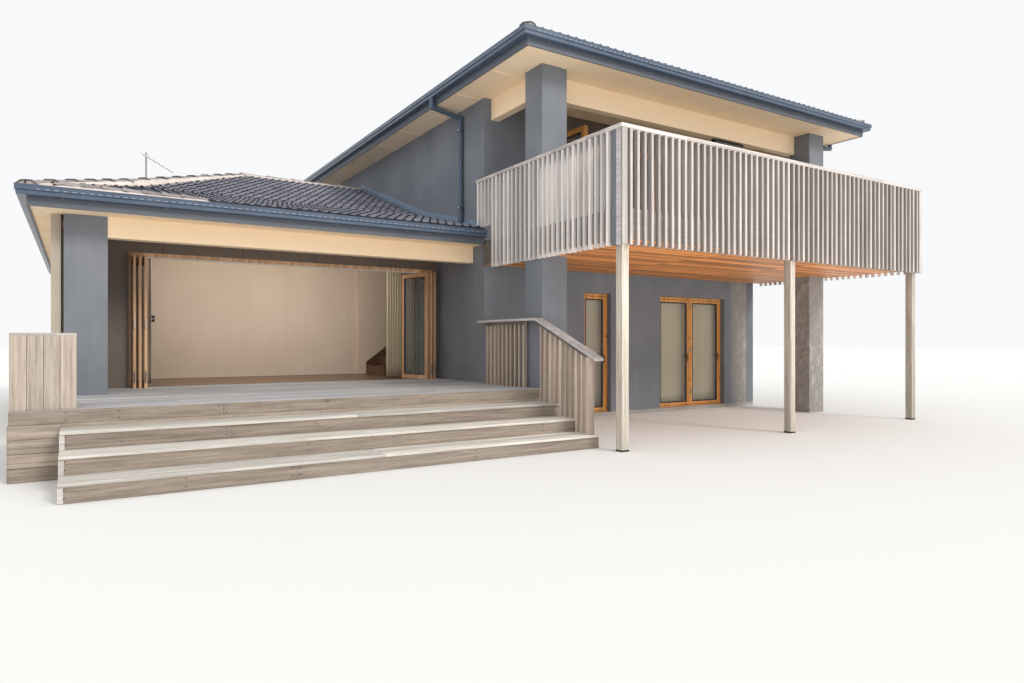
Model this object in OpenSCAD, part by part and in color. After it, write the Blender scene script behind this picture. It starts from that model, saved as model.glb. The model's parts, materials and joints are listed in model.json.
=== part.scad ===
// Beach house: a two-storey rendered box with a hip roof and a battened balcony on posts, and a
// single-storey wing at its left with a tiled hip roof, a deep deck and three wide steps.
// X runs along the front, Y goes from the front to the back, Z is up and 0 is the ground. The origin
// is on the centre line of the box's front wall, halfway along it.

/* [Two-storey box] */
// Width of the box over its walls
box_w = 7000; // [6800:50:7200]
// Depth of the box over its walls
box_d = 10800; // [10000:50:11600]
// Height of the ground-floor door heads
door_head_z = 2350; // [2250:10:2400]
// Thickness of the rendered walls
wall_t = 230; // [200:10:250]
// Level of the upper floor
upper_floor_z = 3150; // [3100:10:3200]
// Level of the upper eaves lining
soffit_z = 5615; // [5500:5:5700]
// Slope of the upper roof in degrees
roof_pitch = 20; // [15:1:24]

/* [Upper eaves] */
// How far the upper roof covers the balcony in front of the wall
eave_front = 2195; // [2100:5:2300]
// Overhang of the upper roof at the left
eave_left = 560; // [450:5:650]
// Overhang of the upper roof at the right
eave_right = 640; // [500:5:700]
// Overhang of the upper roof at the back
eave_back = 600; // [450:5:700]

/* [Piers and posts] */
// Side of the two square rendered piers
pier_w = 460; // [440:10:500]
// Distance from the front wall to the front of the piers
pier_out = 1750; // [1700:5:1800]
// Side of a square timber post
post_w = 115; // [90:5:125]

/* [Balcony] */
// Depth of the balcony in front of the wall
balcony_d = 3600; // [3500:10:3700]
// How far the balcony reaches past the box at the left
balcony_out_left = 50; // [30:5:80]
// How far the balcony reaches past the box at the right
balcony_out_right = 150; // [120:5:200]
// Top of the handrail
rail_z = 4215; // [4150:5:4300]
// Lower end of the battens
batten_z = 2672; // [2640:1:2700]
// Width of a batten
batten_w = 66; // [40:1:80]
// Spacing of the battens
batten_step = 123; // [110:1:140]
// Level of the lining under the balcony
lining_z = 2740; // [2720:5:2800]

/* [Deck and steps] */
// Level of the deck
deck_z = 714; // [700:2:740]
// Distance from the wall to the front of the deck
deck_out = 1760; // [1700:5:1800]
// Going of each of the three steps
going = 440; // [400:5:460]
// Top of the deck handrail above the deck
deck_rail_h = 1066; // [1000:2:1100]

/* [Wing] */
// Width of the wing over its walls
wing_w = 6205; // [6000:5:6400]
// Distance that the wing's column and beam stand behind the front wall of the box
wing_back = 390; // [350:5:420]
// Lower edge of the cream beam
beam_z = 2813; // [2780:1:2850]
// Level of the wing's eaves lining
wing_soffit_z = 3090; // [3060:5:3120]
// Width of the left column
column_w = 495; // [450:5:520]
// Distance from the beam's front to the folding doors
bifold_back = 1410; // [1300:10:1500]
// Height of the wing's ridge
ridge_z = 5140; // [5000:10:5250]

/* [Hidden] */

cut = 1;
seat_gap = 0.3;
box_x = -box_w / 2;
box_x1 = box_w / 2;
front_y = -wall_t / 2;
slab_t = 65;
back_y = front_y + box_d;

// Ground-floor doorways in the front wall: a narrow one and one for a pair of leaves
door_a_in = 2180;
door_a_x = box_x + door_a_in;
door_a_w = 650;
door_b_in = 950;
door_b_w = 1910;
door_b_x = box_x1 - door_b_in - door_b_w;
frame_w = 45;
frame_d = 110;
frame_set = 110;
mullion_w = 45;
mullion_x = door_b_x + (door_b_w - mullion_w) / 2;
sill_h = 25;
sill_out = 20;
leaf_t = 40;
leaf_gap = 8;
knuckle_r = 8;
knuckle_h = 50;
hinge_pin_r = 4;
pin_play = 0.3;
plate_w = 40;
plate_t = 3;
hinge_levels = [250, 1150, 2050];
stile_w = 50;
glass_t = 12;

// Front wall of the upper storey: rendered at the left, dark panels around the wide doorway
upper_door_in = 1400;
upper_door_x = box_x + upper_door_in;
upper_door_w = 3600;
upper_head_z = 5250;
upper_leaf_w = upper_door_w / 4;
upper_leaf_out = 800;
upper_stack_in = 150;

// Windows in the unseen walls
window_w = 1500;
window_h = 1150;
window_top_low = 2300;
window_top_up = 5250;
window_set = 60;
side_window_front = 2900;
side_window_back = 1700;
rear_window_in = 1250;
side_window_y = [front_y + side_window_front, back_y - side_window_back - window_w];
rear_window_x = [box_x + rear_window_in, box_x1 - rear_window_in - window_w];
wing_window_in = 2005;
wing_window_back = 3600;
wing_window_w = 1800;
wing_window_y = back_y - wing_window_back - wing_window_w;
wing_window_x = box_x - wing_w + wing_window_in;

// Roof edges
fascia_t = 25;
fascia_h = 245;
gutter_w = 120;
gutter_h = 125;
gutter_wall = 8;
upper_rect = [box_x - eave_left, front_y - eave_front, box_x1 + eave_right, back_y + eave_back];
eave_z = soffit_z + fascia_h;
roof_drop = 20;
gutter_drop = 25;
fascia_down = 15;
roof_in = 200;
cap_half = 110;
cap_top = 85;
cap_side = 20;
cap_deep = 100;

// Balcony
balcony_x = box_x - balcony_out_left;
balcony_x1 = box_x1 + balcony_out_right;
balcony_y = front_y - balcony_d;
balcony_floor_t = 60;
rim_t = 45;
batten_t = 30;
cap_h = 50;
cap_w = 100;
corner_w = 90;
pier_front = front_y - pier_out;
pier_back = pier_front + pier_w;
pier_in = 20;
pier_right_x = box_x1 - pier_w - pier_in;
post_in = 70;
post_mid_shift = 35;
post_mid_x = (balcony_x + balcony_x1 - post_w) / 2 - post_mid_shift;

// Deck and steps
deck_t = 140;
board_t = 32;
deck_past = 295;
deck_front = front_y - deck_out;
step_rise = deck_z / 4;
rail_w = 140;
rail_h = 40;

// Wing
wing_x = box_x - wing_w;
deck_x = wing_x - deck_past;
wing_wall_t = 110;
wing_front = front_y + wing_back;
wing_side_set = 90;
column_in = 141;
column_x = wing_x + column_in;
bifold_y = wing_front + bifold_back;
wing_eave_out = 230;
wing_eave_front = 90;
wing_eave_back = 450;
wing_rect = [wing_x - wing_eave_out, front_y - wing_eave_front, box_x, back_y + wing_eave_back];
wing_eave_h = 250;
wing_eave_z = wing_soffit_z + wing_eave_h;
ridge_back = 6000;
ridge_left = 2830;
ridge_y = front_y + ridge_back;
ridge_x = box_x - ridge_left;
kink_back = 2400;
kink_rise = 575;
kink_y = front_y + kink_back;
kink_z = wing_eave_z + kink_rise;
wing_floor_t = 200;
beam_t = 200;
soffit_t = 30;
roof_t = 150;
wing_sill_h = 900;
wing_sill_z = deck_z + wing_sill_h;
wing_head_h = 2050;
wing_head_z = deck_z + wing_head_h;

// Stair from the wing up through the box's side wall
stair_in = 485;
stair_x = box_x - stair_in;
stair_back = 3365;
stair_y = front_y + stair_back;
stair_w = 1050;
stair_count = 13;
stair_going = 240;
stair_riser_t = 18;
stair_rise = (upper_floor_z - deck_z) / stair_count;
stair_head_h = 1946;
stair_head_z = deck_z + stair_head_h;
stair_end_x = stair_x + (stair_count - 1) * stair_going;

module slab(x0, y0, z0, x1, y1, z1) {
    translate([x0, y0, z0]) cube([x1 - x0, y1 - y0, z1 - z0]);
}

// Ring of boards around a rectangle in plan, r = [x0, y0, x1, y1]
module ring(r, z0, z1, t) {
    difference() {
        slab(r[0], r[1], z0, r[2], r[3], z1);
        slab(r[0] + t, r[1] + t, z0 - cut, r[2] - t, r[3] - t, z1 + cut);
    }
}

// Upright frame in an XZ opening, its front at y0
module frame_xz(x0, y0, z0, x1, z1, w, d) {
    difference() {
        slab(x0, y0, z0, x1, y0 + d, z1);
        slab(x0 + w, y0 - cut, z0 + w, x1 - w, y0 + d + cut, z1 - w);
    }
}

// Glazed window in an XZ opening
module window_xz(x0, y0, z0, x1, z1) {
    frame_xz(x0, y0, z0, x1, z1, frame_w, frame_d);
    slab(x0 + frame_w, y0 + frame_d / 2 - glass_t / 2, z0 + frame_w,
        x1 - frame_w, y0 + frame_d / 2 + glass_t / 2, z1 - frame_w);
}

// Glazed window in a YZ opening, its right face at x1
module window_yz(x1, y0, z0, y1, z1) {
    translate([x1, y0, 0]) rotate([0, 0, 90]) window_xz(0, 0, z0, y1 - y0, z1);
}

// Ground floor
module ground_slab() {
    color("gray")
        slab(box_x, front_y, 0, box_x1, back_y, slab_t);
}

module ground_front(x0, x1, z0, z1) {
    color("slategray") slab(x0, front_y, z0, x1, front_y + wall_t, z1);
}

module ground_wall_left() {
    ground_front(box_x + wall_t, door_a_x, slab_t, lining_z);
}

module ground_wall_mid() {
    ground_front(door_a_x + door_a_w, door_b_x, slab_t, door_head_z);
}

module ground_wall_right() {
    ground_front(door_b_x + door_b_w, box_x1 - wall_t, slab_t, lining_z);
}

module ground_wall_head() {
    ground_front(door_a_x, door_b_x + door_b_w, door_head_z, lining_z);
}

// Side and back walls, both storeys
module left_wall() {
    color("slategray") difference() {
        slab(box_x, front_y, slab_t, box_x + wall_t, back_y, soffit_z);
        slab(box_x - cut, stair_y, deck_z, box_x + wall_t + cut, stair_y + stair_w, stair_head_z);
    }
}

module right_wall() {
    color("slategray") difference() {
        slab(box_x1 - wall_t, front_y, slab_t, box_x1, back_y, soffit_z);
        for (y = side_window_y, z = [window_top_low, window_top_up])
            slab(box_x1 - wall_t - cut, y, z - window_h, box_x1 + cut, y + window_w, z);
    }
}

module back_wall() {
    color("slategray") difference() {
        slab(box_x + wall_t, back_y - wall_t, slab_t, box_x1 - wall_t, back_y, soffit_z);
        for (x = rear_window_x, z = [window_top_low, window_top_up])
            slab(x, back_y - wall_t - cut, z - window_h, x + window_w, back_y + cut, z);
    }
}

module windows() {
    color("dimgray") {
        for (y = side_window_y, z = [window_top_low, window_top_up])
            window_yz(box_x1 - window_set, y, z - window_h, y + window_w, z);
        for (x = rear_window_x, z = [window_top_low, window_top_up])
            window_xz(x, back_y - frame_d - window_set, z - window_h, x + window_w, z);
        window_yz(wing_x + frame_d, wing_window_y, wing_sill_z, wing_window_y + wing_window_w,
            wing_head_z);
        window_xz(wing_window_x, back_y - frame_d, wing_sill_z, wing_window_x + wing_window_w,
            wing_head_z);
    }
}

// Floor between the storeys
module upper_floor() {
    color("tan") difference() {
        slab(box_x + wall_t, front_y, lining_z, box_x1 - wall_t, back_y - wall_t, upper_floor_z);
        slab(box_x, stair_y, lining_z - cut, stair_end_x + stair_riser_t + seat_gap,
            stair_y + stair_w, upper_floor_z + cut);
    }
}

module upper_front_wall() {
    color("slategray")
        slab(box_x + wall_t, front_y, upper_floor_z, upper_door_x, front_y + wall_t, soffit_z);
}

// Dark sheet panels over the upper doorway and at its right
module upper_panel_wall() {
    x1 = upper_door_x + upper_door_w;
    y1 = front_y + wall_t;
    color("dimgray") {
        slab(upper_door_x, front_y, upper_head_z, x1, y1, soffit_z);
        slab(x1, front_y, upper_floor_z, box_x1 - wall_t, y1, soffit_z);
    }
}

module upper_doors() {
    x1 = upper_door_x + upper_door_w;
    y0 = front_y + frame_set;
    top = upper_head_z - frame_w - leaf_gap;
    color("sandybrown") {
        slab(upper_door_x, y0, upper_floor_z, upper_door_x + frame_w, y0 + frame_d, upper_head_z);
        slab(x1 - frame_w, y0, upper_floor_z, x1, y0 + frame_d, upper_head_z);
        slab(upper_door_x + frame_w, y0, upper_head_z - frame_w, x1 - frame_w, y0 + frame_d,
            upper_head_z);
        for (i = [0, 1]) {
            x = upper_door_x + upper_stack_in + i * (leaf_t + seat_gap);
            leaf_yz(x + leaf_t, front_y - upper_leaf_out, upper_floor_z, upper_leaf_w, top);
            leaf_xz(x1 - frame_w - seat_gap - (i + 1) * (upper_leaf_w - frame_w) - i * seat_gap,
                y0, upper_floor_z, upper_leaf_w - frame_w, top);
        }
    }
}

// Glazed timber leaf of width w in the XZ plane, its front at y0
module leaf_xz(x0, y0, z0, w, z1) {
    frame_xz(x0, y0, z0, x0 + w, z1, stile_w, leaf_t);
    slab(x0 + stile_w, y0 + leaf_t / 2 - glass_t / 2, z0 + stile_w, x0 + w - stile_w,
        y0 + leaf_t / 2 + glass_t / 2, z1 - stile_w);
}

// Glazed timber leaf of width w in the YZ plane, its right face at x1, turned by fan degrees
module leaf_yz(x1, y0, z0, w, z1, fan = 0) {
    translate([x1, y0, 0]) rotate([0, 0, 90 + fan]) leaf_xz(0, 0, z0, w, z1);
}

// Rendered piers from the ground to the upper eaves
module left_pier() {
    color("slategray")
        slab(box_x, pier_front, 0, box_x + pier_w, pier_front + pier_w, soffit_z);
}

module right_pier() {
    color("slategray")
        slab(pier_right_x, pier_front, 0, pier_right_x + pier_w, pier_front + pier_w, soffit_z);
}

// Boxed beams under the upper eaves
beam_set = 145;
beam_in = 350;
upper_beam_h = 365;
upper_beam_t = 150;
module upper_beams() {
    y0 = pier_front + beam_in;
    z0 = soffit_z - upper_beam_h;
    left = box_x + beam_set;
    right = pier_right_x + pier_w - beam_set;
    color("wheat") {
        slab(box_x + pier_w, y0, z0, pier_right_x, y0 + upper_beam_t, soffit_z);
        slab(left, pier_back, z0, left + upper_beam_t, front_y, soffit_z);
        slab(right - upper_beam_t, pier_back, z0, right, front_y, soffit_z);
    }
}

// Lining of the upper eaves and ceiling
module upper_soffit() {
    color("wheat")
        slab(upper_rect[0] + fascia_t, upper_rect[1] + fascia_t, soffit_z,
            upper_rect[2] - fascia_t, upper_rect[3] - fascia_t, soffit_z + soffit_t);
}

module upper_fascia() {
    color("darkslategray") ring(upper_rect, soffit_z - fascia_down, eave_z - roof_drop, fascia_t);
}

// Prism with its outline in the XZ plane, from y0 to y1
module prism_xz(y0, y1, points) {
    translate([0, y1, 0]) rotate([90, 0, 0]) linear_extrude(y1 - y0) polygon(points);
}

// Prism with its outline in the YZ plane, from x0 to x1
module prism_yz(x0, x1, points) {
    translate([x0, 0, 0]) rotate([90, 0, 90]) linear_extrude(x1 - x0) polygon(points);
}

// Outline of a roof over a span, rising from z at both eaves to a peak
function span_outline(a, b, z) =
    let (mid = (a + b) / 2) [[a, z], [mid, z + (mid - a) * tan(roof_pitch)], [b, z]];

// Hipped roof over r = [x0, y0, x1, y1], all sides at the same slope
module hip_solid(r, z) {
    intersection() {
        prism_xz(r[1], r[3], span_outline(r[0], r[2], z));
        prism_yz(r[0], r[2], span_outline(r[1], r[3], z));
    }
}

// Plan outlines of the slopes of a roof over r whose ridge runs from a to b; each is moved out by g
function left_plan(r, a, b, g) =
    [[r[0] - g, r[1]], [a[0] - g, a[1]], [b[0] - g, b[1]], [r[0] - g, r[3]]];
function right_plan(r, a, b, g) =
    [[r[2] + g, r[1]], [r[2] + g, r[3]], [b[0] + g, b[1]], [a[0] + g, a[1]]];
function front_plan(r, a, g) = [[r[0], r[1] - g], [r[2], r[1] - g], [a[0], a[1] - g]];
function back_plan(r, b, g) = [[r[2], r[3] + g], [r[0], r[3] + g], [b[0], b[1] + g]];

upper_mid_x = (upper_rect[0] + upper_rect[2]) / 2;
upper_run = (upper_rect[2] - upper_rect[0]) / 2;
upper_a = [upper_mid_x, upper_rect[1] + upper_run];
upper_b = [upper_mid_x, upper_rect[3] - upper_run];

// Four slopes that meet at the hips and at the ridge
module upper_roof() {
    r = upper_rect;
    inner = [r[0] + roof_in, r[1] + roof_in, r[2] - roof_in, r[3] - roof_in];
    plans = [left_plan(r, upper_a, upper_b, seat_gap), right_plan(r, upper_a, upper_b, seat_gap),
        front_plan(r, upper_a, seat_gap), back_plan(r, upper_b, seat_gap)];
    color("darkslategray")
        for (plan = plans)
            intersection() {
                difference() {
                    hip_solid(r, eave_z - roof_drop);
                    hip_solid(inner, eave_z - roof_drop - cut);
                }
                translate([0, 0, soffit_z]) linear_extrude(2 * upper_run) polygon(plan);
            }
}

// Bar of capping tiles from a to b, its underside still uncut
module cap_bar(a, b) {
    d = b - a;
    translate(a) rotate([0, -atan2(d[2], norm([d[0], d[1]])), atan2(d[1], d[0])])
        rotate([90, 0, 90]) linear_extrude(norm(d))
            polygon([[-cap_half, -cap_deep], [cap_half, -cap_deep], [cap_half, cap_side],
                [cap_half / 2, cap_top], [-cap_half / 2, cap_top], [-cap_half, cap_side]]);
}

// Capping tiles along the hips and ridges of both roofs, seated on the slopes
cap_start = 0.03;
module roof_caps() {
    color("darkslategray") {
        upper_caps();
        wing_caps();
    }
}

module upper_caps() {
    r = upper_rect;
    z0 = eave_z - roof_drop;
    z1 = z0 + upper_run * tan(roof_pitch);
    a = [upper_a[0], upper_a[1], z1];
    b = [upper_b[0], upper_b[1], z1];
    difference() {
        union() {
            for (x = [r[0], r[2]]) {
                cap_bar([x, r[1], z0] + cap_start * (a - [x, r[1], z0]), a);
                cap_bar([x, r[3], z0] + cap_start * (b - [x, r[3], z0]), b);
            }
            cap_bar(a, b);
        }
        hip_solid(r, z0 + seat_gap);
        slab(r[0], r[1], soffit_z, r[2], r[3], z0 + 2 * seat_gap);
    }
}

module wing_caps() {
    r = wing_rect;
    drop = [0, 0, roof_drop];
    low = [r[0], r[1], wing_eave_z] - drop;
    kink = [hip_kink_x, kink_y, kink_z] - drop;
    peak = [ridge_x, ridge_y, ridge_z] - drop;
    back = [r[0], r[3], wing_eave_z] - drop;
    end = [box_x - seat_gap, ridge_y, ridge_z - roof_drop];
    difference() {
        union() {
            cap_bar(low + cap_start * (kink - low), kink);
            cap_bar(kink, peak);
            cap_bar(back + cap_start * (peak - back), peak);
            cap_bar(peak, end);
        }
        translate([0, 0, seat_gap]) wing_roof_solid(roof_drop);
        slab(r[0] - gutter_w, r[1] - gutter_w, wing_soffit_z, box_x, r[3] + gutter_w,
            wing_eave_z - roof_drop + 2 * seat_gap);
    }
}

// Open-topped gutter around a rectangle
module gutter_ring(r, z0, z1) {
    o = [r[0] - gutter_w, r[1] - gutter_w, r[2] + gutter_w, r[3] + gutter_w];
    difference() {
        slab(o[0], o[1], z0, o[2], o[3], z1);
        slab(r[0], r[1], z0 - cut, r[2], r[3], z1 + cut);
        difference() {
            slab(o[0] + gutter_wall, o[1] + gutter_wall, z0 + gutter_wall,
                o[2] - gutter_wall, o[3] - gutter_wall, z1 + cut);
            slab(r[0] - gutter_wall, r[1] - gutter_wall, z0, r[2] + gutter_wall,
                r[3] + gutter_wall, z1 + 2 * cut);
        }
    }
}

module upper_gutter() {
    color("slategray") gutter_ring(upper_rect, eave_z - gutter_h - gutter_drop, eave_z - gutter_drop);
}

// Balcony floor: rim beams and joists, cedar lining below and boards on top
joist_t = 45;
lining_t = 20;
module balcony_frame() {
    r = [balcony_x + batten_t, balcony_y + batten_t, balcony_x1 - batten_t, front_y];
    z0 = lining_z + lining_t + seat_gap;
    top = upper_floor_z - balcony_floor_t;
    bay_front = pier_front - r[1] - rim_t;
    bay_back = r[3] - rim_t - pier_back;
    joists = concat([for (i = [1:3]) r[1] + rim_t + i * bay_front / 4],
        [for (i = [1:2]) pier_back + i * bay_back / 3]);
    color("sienna") {
        difference() {
            slab(r[0], r[1], lining_z, r[2], r[3], lining_z + lining_t);
            pier_holes();
        }
        for (y = [r[1], r[3] - rim_t])
            slab(r[0], y, z0, r[2], y + rim_t, top);
        difference() {
            for (x = [r[0], r[2] - rim_t])
                slab(x, r[1] + rim_t + seat_gap, z0, x + rim_t, r[3] - rim_t - seat_gap, top);
            pier_holes();
        }
        for (y = joists)
            slab(r[0] + rim_t + seat_gap, y, z0, r[2] - rim_t - seat_gap, y + joist_t, top);
    }
}

module pier_holes() {
    for (x = [box_x, pier_right_x])
        slab(x, pier_front, 0, x + pier_w, pier_back, soffit_z);
    pipe_hole();
}

// Room for the right downpipe beside its pier
module pipe_hole() {
    x = pier_right_x + pier_w;
    slab(x - cut, right_pipe_y - pipe_r - pipe_play, 0, x + pipe_off + 2 * pipe_r + pipe_play,
        right_pipe_y + pipe_r + pipe_play, soffit_z);
}

module balcony_deck() {
    color("silver") difference() {
        slab(balcony_x + batten_t, balcony_y + batten_t, upper_floor_z - balcony_floor_t,
            balcony_x1 - batten_t, front_y, upper_floor_z);
        pier_holes();
    }
}

// Front screen: battens, a rail behind them and a flat cap
rail_top_z = rail_z - cap_h;
cap_out = 20;
screen_rail_h = 90;
module balcony_front() {
    span = balcony_x1 - balcony_x - 2 * corner_w;
    count = floor(span / batten_step);
    first = balcony_x + corner_w + (span - count * batten_step + batten_step - batten_w) / 2;
    color("silver") {
        for (i = [0:count - 1])
            translate([first + i * batten_step, balcony_y, batten_z])
                cube([batten_w, batten_t, rail_top_z - batten_z]);
        for (x = [balcony_x, balcony_x1 - corner_w])
            slab(x, balcony_y, batten_z, x + corner_w, balcony_y + batten_t, rail_top_z);
        slab(balcony_x + batten_t, balcony_y + batten_t, rail_top_z - screen_rail_h,
            balcony_x1 - batten_t, balcony_y + batten_t + rim_t, rail_top_z);
        slab(balcony_x - cap_out, balcony_y - cap_out, rail_top_z, balcony_x1 + cap_out,
            balcony_y + cap_w - cap_out, rail_z);
    }
}

// Battens of a side screen, their faces at x0; those past y_short start higher
module side_battens(x0, y_end, y_short) {
    count = floor((y_end - balcony_y - batten_w) / batten_step);
    for (i = [1:count]) {
        y = balcony_y + i * batten_step;
        z0 = y + batten_w > y_short ? short_batten_z : batten_z;
        translate([x0, y, z0]) cube([batten_t, batten_w, rail_top_z - z0]);
    }
    slab(x0, balcony_y + batten_t + seat_gap, batten_z, x0 + batten_t, balcony_y + corner_w,
        rail_top_z);
}

short_batten_z = 3380;
short_batten_in = 215;
left_screen_past = 176;
module balcony_left() {
    color("silver") difference() {
        left_screen();
        pier_holes();
    }
}

module left_screen() {
    union() {
        side_battens(balcony_x, front_y + left_screen_past, front_y - short_batten_in);
        slab(balcony_x + batten_t, balcony_y + batten_t + rim_t, rail_top_z - screen_rail_h,
            balcony_x + batten_t + rim_t, front_y, rail_top_z);
        slab(balcony_x - cap_out, balcony_y + cap_w - cap_out, rail_top_z,
            balcony_x + cap_w - cap_out, front_y, rail_z);
        slab(balcony_x - cap_out, front_y, rail_top_z, box_x, front_y + left_screen_past, rail_z);
    }
}

module balcony_right() {
    color("silver") difference() {
        right_screen();
        pipe_hole();
    }
}

module right_screen() {
    union() {
        side_battens(balcony_x1 - batten_t, front_y, back_y);
        slab(balcony_x1 - batten_t - rim_t, balcony_y + batten_t + rim_t,
            rail_top_z - screen_rail_h, balcony_x1 - batten_t, front_y, rail_top_z);
        slab(balcony_x1 - cap_w + cap_out, balcony_y + cap_w - cap_out, rail_top_z,
            balcony_x1 + cap_out, front_y, rail_z);
    }
}

module balcony_posts() {
    y0 = balcony_y + batten_t + rim_t;
    color("lightgray")
        for (x = [balcony_x + post_in, post_mid_x, balcony_x1 - post_in - post_w])
            slab(x, y0, 0, x + post_w, y0 + post_w, lining_z);
}

// Frame of a doorway: two jambs, a head and a sill
module door_frame(x0, w) {
    y0 = front_y + frame_set;
    slab(x0, y0, slab_t, x0 + frame_w, y0 + frame_d, door_head_z);
    slab(x0 + w - frame_w, y0, slab_t, x0 + w, y0 + frame_d, door_head_z);
    slab(x0 + frame_w, y0, door_head_z - frame_w, x0 + w - frame_w, y0 + frame_d, door_head_z);
    slab(x0, y0 - sill_out, slab_t, x0 + w, y0 + frame_d, slab_t + sill_h);
}

module door_frames() {
    y0 = front_y + frame_set;
    color("sandybrown") {
        door_frame(door_a_x, door_a_w);
        door_frame(door_b_x, door_b_w);
        slab(mullion_x, y0, slab_t, mullion_x + mullion_w, y0 + frame_d, door_head_z);
        frame_knuckles(door_a_x + frame_w);
        frame_knuckles(door_b_x + frame_w);
        frame_knuckles(mullion_x + mullion_w);
    }
}

// Hinge halves on a jamb whose face is at x: lower knuckles with their pins
module frame_knuckles(x) {
    y0 = front_y + frame_set;
    for (h = hinge_levels)
        translate([x + leaf_gap / 2, y0 - knuckle_r, slab_t + h]) {
            cylinder(r = knuckle_r, h = knuckle_h);
            cylinder(r = hinge_pin_r, h = 2 * knuckle_h);
            translate([-plate_w, knuckle_r - plate_t, 0]) cube([plate_w, plate_t, knuckle_h]);
        }
}

// Upper knuckles on a leaf whose hinge axis is at x, bored for the pins
module leaf_knuckles(x) {
    y0 = front_y + frame_set;
    for (h = hinge_levels)
        translate([x, y0 - knuckle_r, slab_t + h + knuckle_h + pin_play])
            difference() {
                union() {
                    cylinder(r = knuckle_r, h = knuckle_h);
                    translate([0, knuckle_r - plate_t, 0]) cube([plate_w, plate_t, knuckle_h]);
                }
                translate([0, 0, -cut])
                    cylinder(r = hinge_pin_r + pin_play, h = knuckle_h + 2 * cut);
            }
}

// Glazed leaf between x0 and x1, hinged at x0
module door_leaf(x0, x1) {
    color("sandybrown") {
        leaf_xz(x0, front_y + frame_set, slab_t + sill_h + leaf_gap, x1 - x0,
            door_head_z - frame_w - leaf_gap);
        leaf_knuckles(x0 - leaf_gap / 2);
    }
}

module narrow_door() {
    door_leaf(door_a_x + frame_w + leaf_gap, door_a_x + door_a_w - frame_w - leaf_gap);
}

module pair_door_left() {
    door_leaf(door_b_x + frame_w + leaf_gap, mullion_x - leaf_gap);
}

module pair_door_right() {
    door_leaf(mullion_x + mullion_w + leaf_gap, door_b_x + door_b_w - frame_w - leaf_gap);
}

// Deck: an L in plan that ends at the wing's left wall
module deck_plan() {
    polygon([[deck_x, deck_front], [box_x, deck_front], [box_x, bifold_y],
        [wing_x + wing_wall_t, bifold_y], [wing_x + wing_wall_t, wing_front + wing_side_set],
        [deck_x, wing_front + wing_side_set]]);
}

module deck_floor() {
    color("silver") difference() {
        translate([0, 0, deck_z - deck_t]) linear_extrude(deck_t) deck_plan();
        slab(column_x, wing_front, 0, column_x + column_w, wing_front + column_w, wing_soffit_z);
    }
}

// Boarded skirt under the deck's front, left and right edges, and bearers behind it
bearer_w = 90;
module deck_base() {
    z1 = deck_z - deck_t;
    y0 = deck_front + board_t + seat_gap;
    bay = (box_x - bearer_w - column_x) / 4;
    color("gray") {
        slab(deck_x, deck_front, 0, box_x, deck_front + board_t, z1);
        slab(deck_x, y0, 0, deck_x + board_t, wing_front + wing_side_set, z1);
        for (i = [0:3])
            slab(box_x - bearer_w - i * bay, y0, 0, box_x - i * bay,
                i == 0 ? front_y : bifold_y, z1);
    }
}

// Three wide steps. Tread i is counted from the deck; each riser but the lowest stands on the
// tread below it, and short carriages carry the treads.
nose = 20;
riser_t = 25;
carriage_w = 45;
carriage_gaps = 4;
function tread_top(i) = deck_z - i * step_rise;
function riser_y(i) = deck_front - i * going;

module steps() {
    color("silver")
        for (i = [1:3])
            slab(column_x, riser_y(i) - nose, tread_top(i) - board_t, box_x,
                riser_y(i - 1) + (i == 1 ? 0 : riser_t), tread_top(i));
}

module step_frame() {
    color("dimgray")
        for (i = [1:3]) {
            z1 = tread_top(i) - board_t;
            slab(column_x, riser_y(i), i == 3 ? 0 : tread_top(i + 1), box_x,
                riser_y(i) + riser_t, z1);
            for (k = [0:carriage_gaps]) {
                x = column_x + k * (box_x - carriage_w - column_x) / carriage_gaps;
                slab(x, riser_y(i) + riser_t + seat_gap, 0, x + carriage_w, riser_y(i - 1), z1);
            }
        }
}

planter_w = 580;
planter_d = 650;
planter_h = 800;
planter_t = 40;
planter_base = 60;
planter_set = 110;
module planter_box() {
    x0 = deck_x;
    y0 = deck_front + planter_set;
    color("silver") difference() {
        slab(x0, y0, deck_z, x0 + planter_w, y0 + planter_d, deck_z + planter_h);
        slab(x0 + planter_t, y0 + planter_t, deck_z + planter_base, x0 + planter_w - planter_t,
            y0 + planter_d - planter_t, deck_z + planter_h + cut);
    }
}

// Level screen between the wall and the pier: battens and an under-rail below a flat handrail
// that runs on past the pier
deck_rail_z = deck_z + deck_rail_h;
screen_x = box_x - 85;
under_rail_h = 90;
under_rail_t = 35;
screen_lap = 120;
screen_wall_gap = 230;
module deck_screen() {
    y0 = pier_back - screen_lap;
    y1 = front_y - screen_wall_gap;
    count = floor((y1 - y0 - batten_w) / batten_step);
    z1 = deck_rail_z - rail_h;
    color("silver") {
        slab(box_x - rail_w, deck_front, z1, box_x, front_y, deck_rail_z);
        slab(screen_x + batten_t, y0, z1 - under_rail_h, screen_x + batten_t + under_rail_t, y1, z1);
        for (i = [0:count])
            slab(screen_x, y0 + i * batten_step, deck_z, screen_x + batten_t,
                y0 + i * batten_step + batten_w, z1);
    }
}

// Screen beside the steps: its rail and battens fall with them to a newel on the lowest step
newel_w = 90;
rail_past = 120;
slope_fall = step_rise / going;
module stair_screen() {
    y_low = riser_y(3) + nose;
    z1 = deck_rail_z - rail_h;
    count = floor((deck_front - y_low - newel_w) / batten_step);
    color("silver") {
        slope_board(box_x - rail_w, rail_w, y_low - rail_past, deck_front, z1, rail_h);
        slope_board(screen_x + batten_t, under_rail_t, y_low, deck_front, z1 - under_rail_h,
            under_rail_h + rail_h / 2);
        slab(screen_x + batten_t - newel_w, y_low, tread_top(3), screen_x + batten_t,
            y_low + newel_w, z1 - (deck_front - y_low - newel_w) * slope_fall - newel_w * slope_fall);
        for (i = [1:count])
            slope_batten(screen_x, deck_front - i * batten_step);
    }
}

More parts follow.
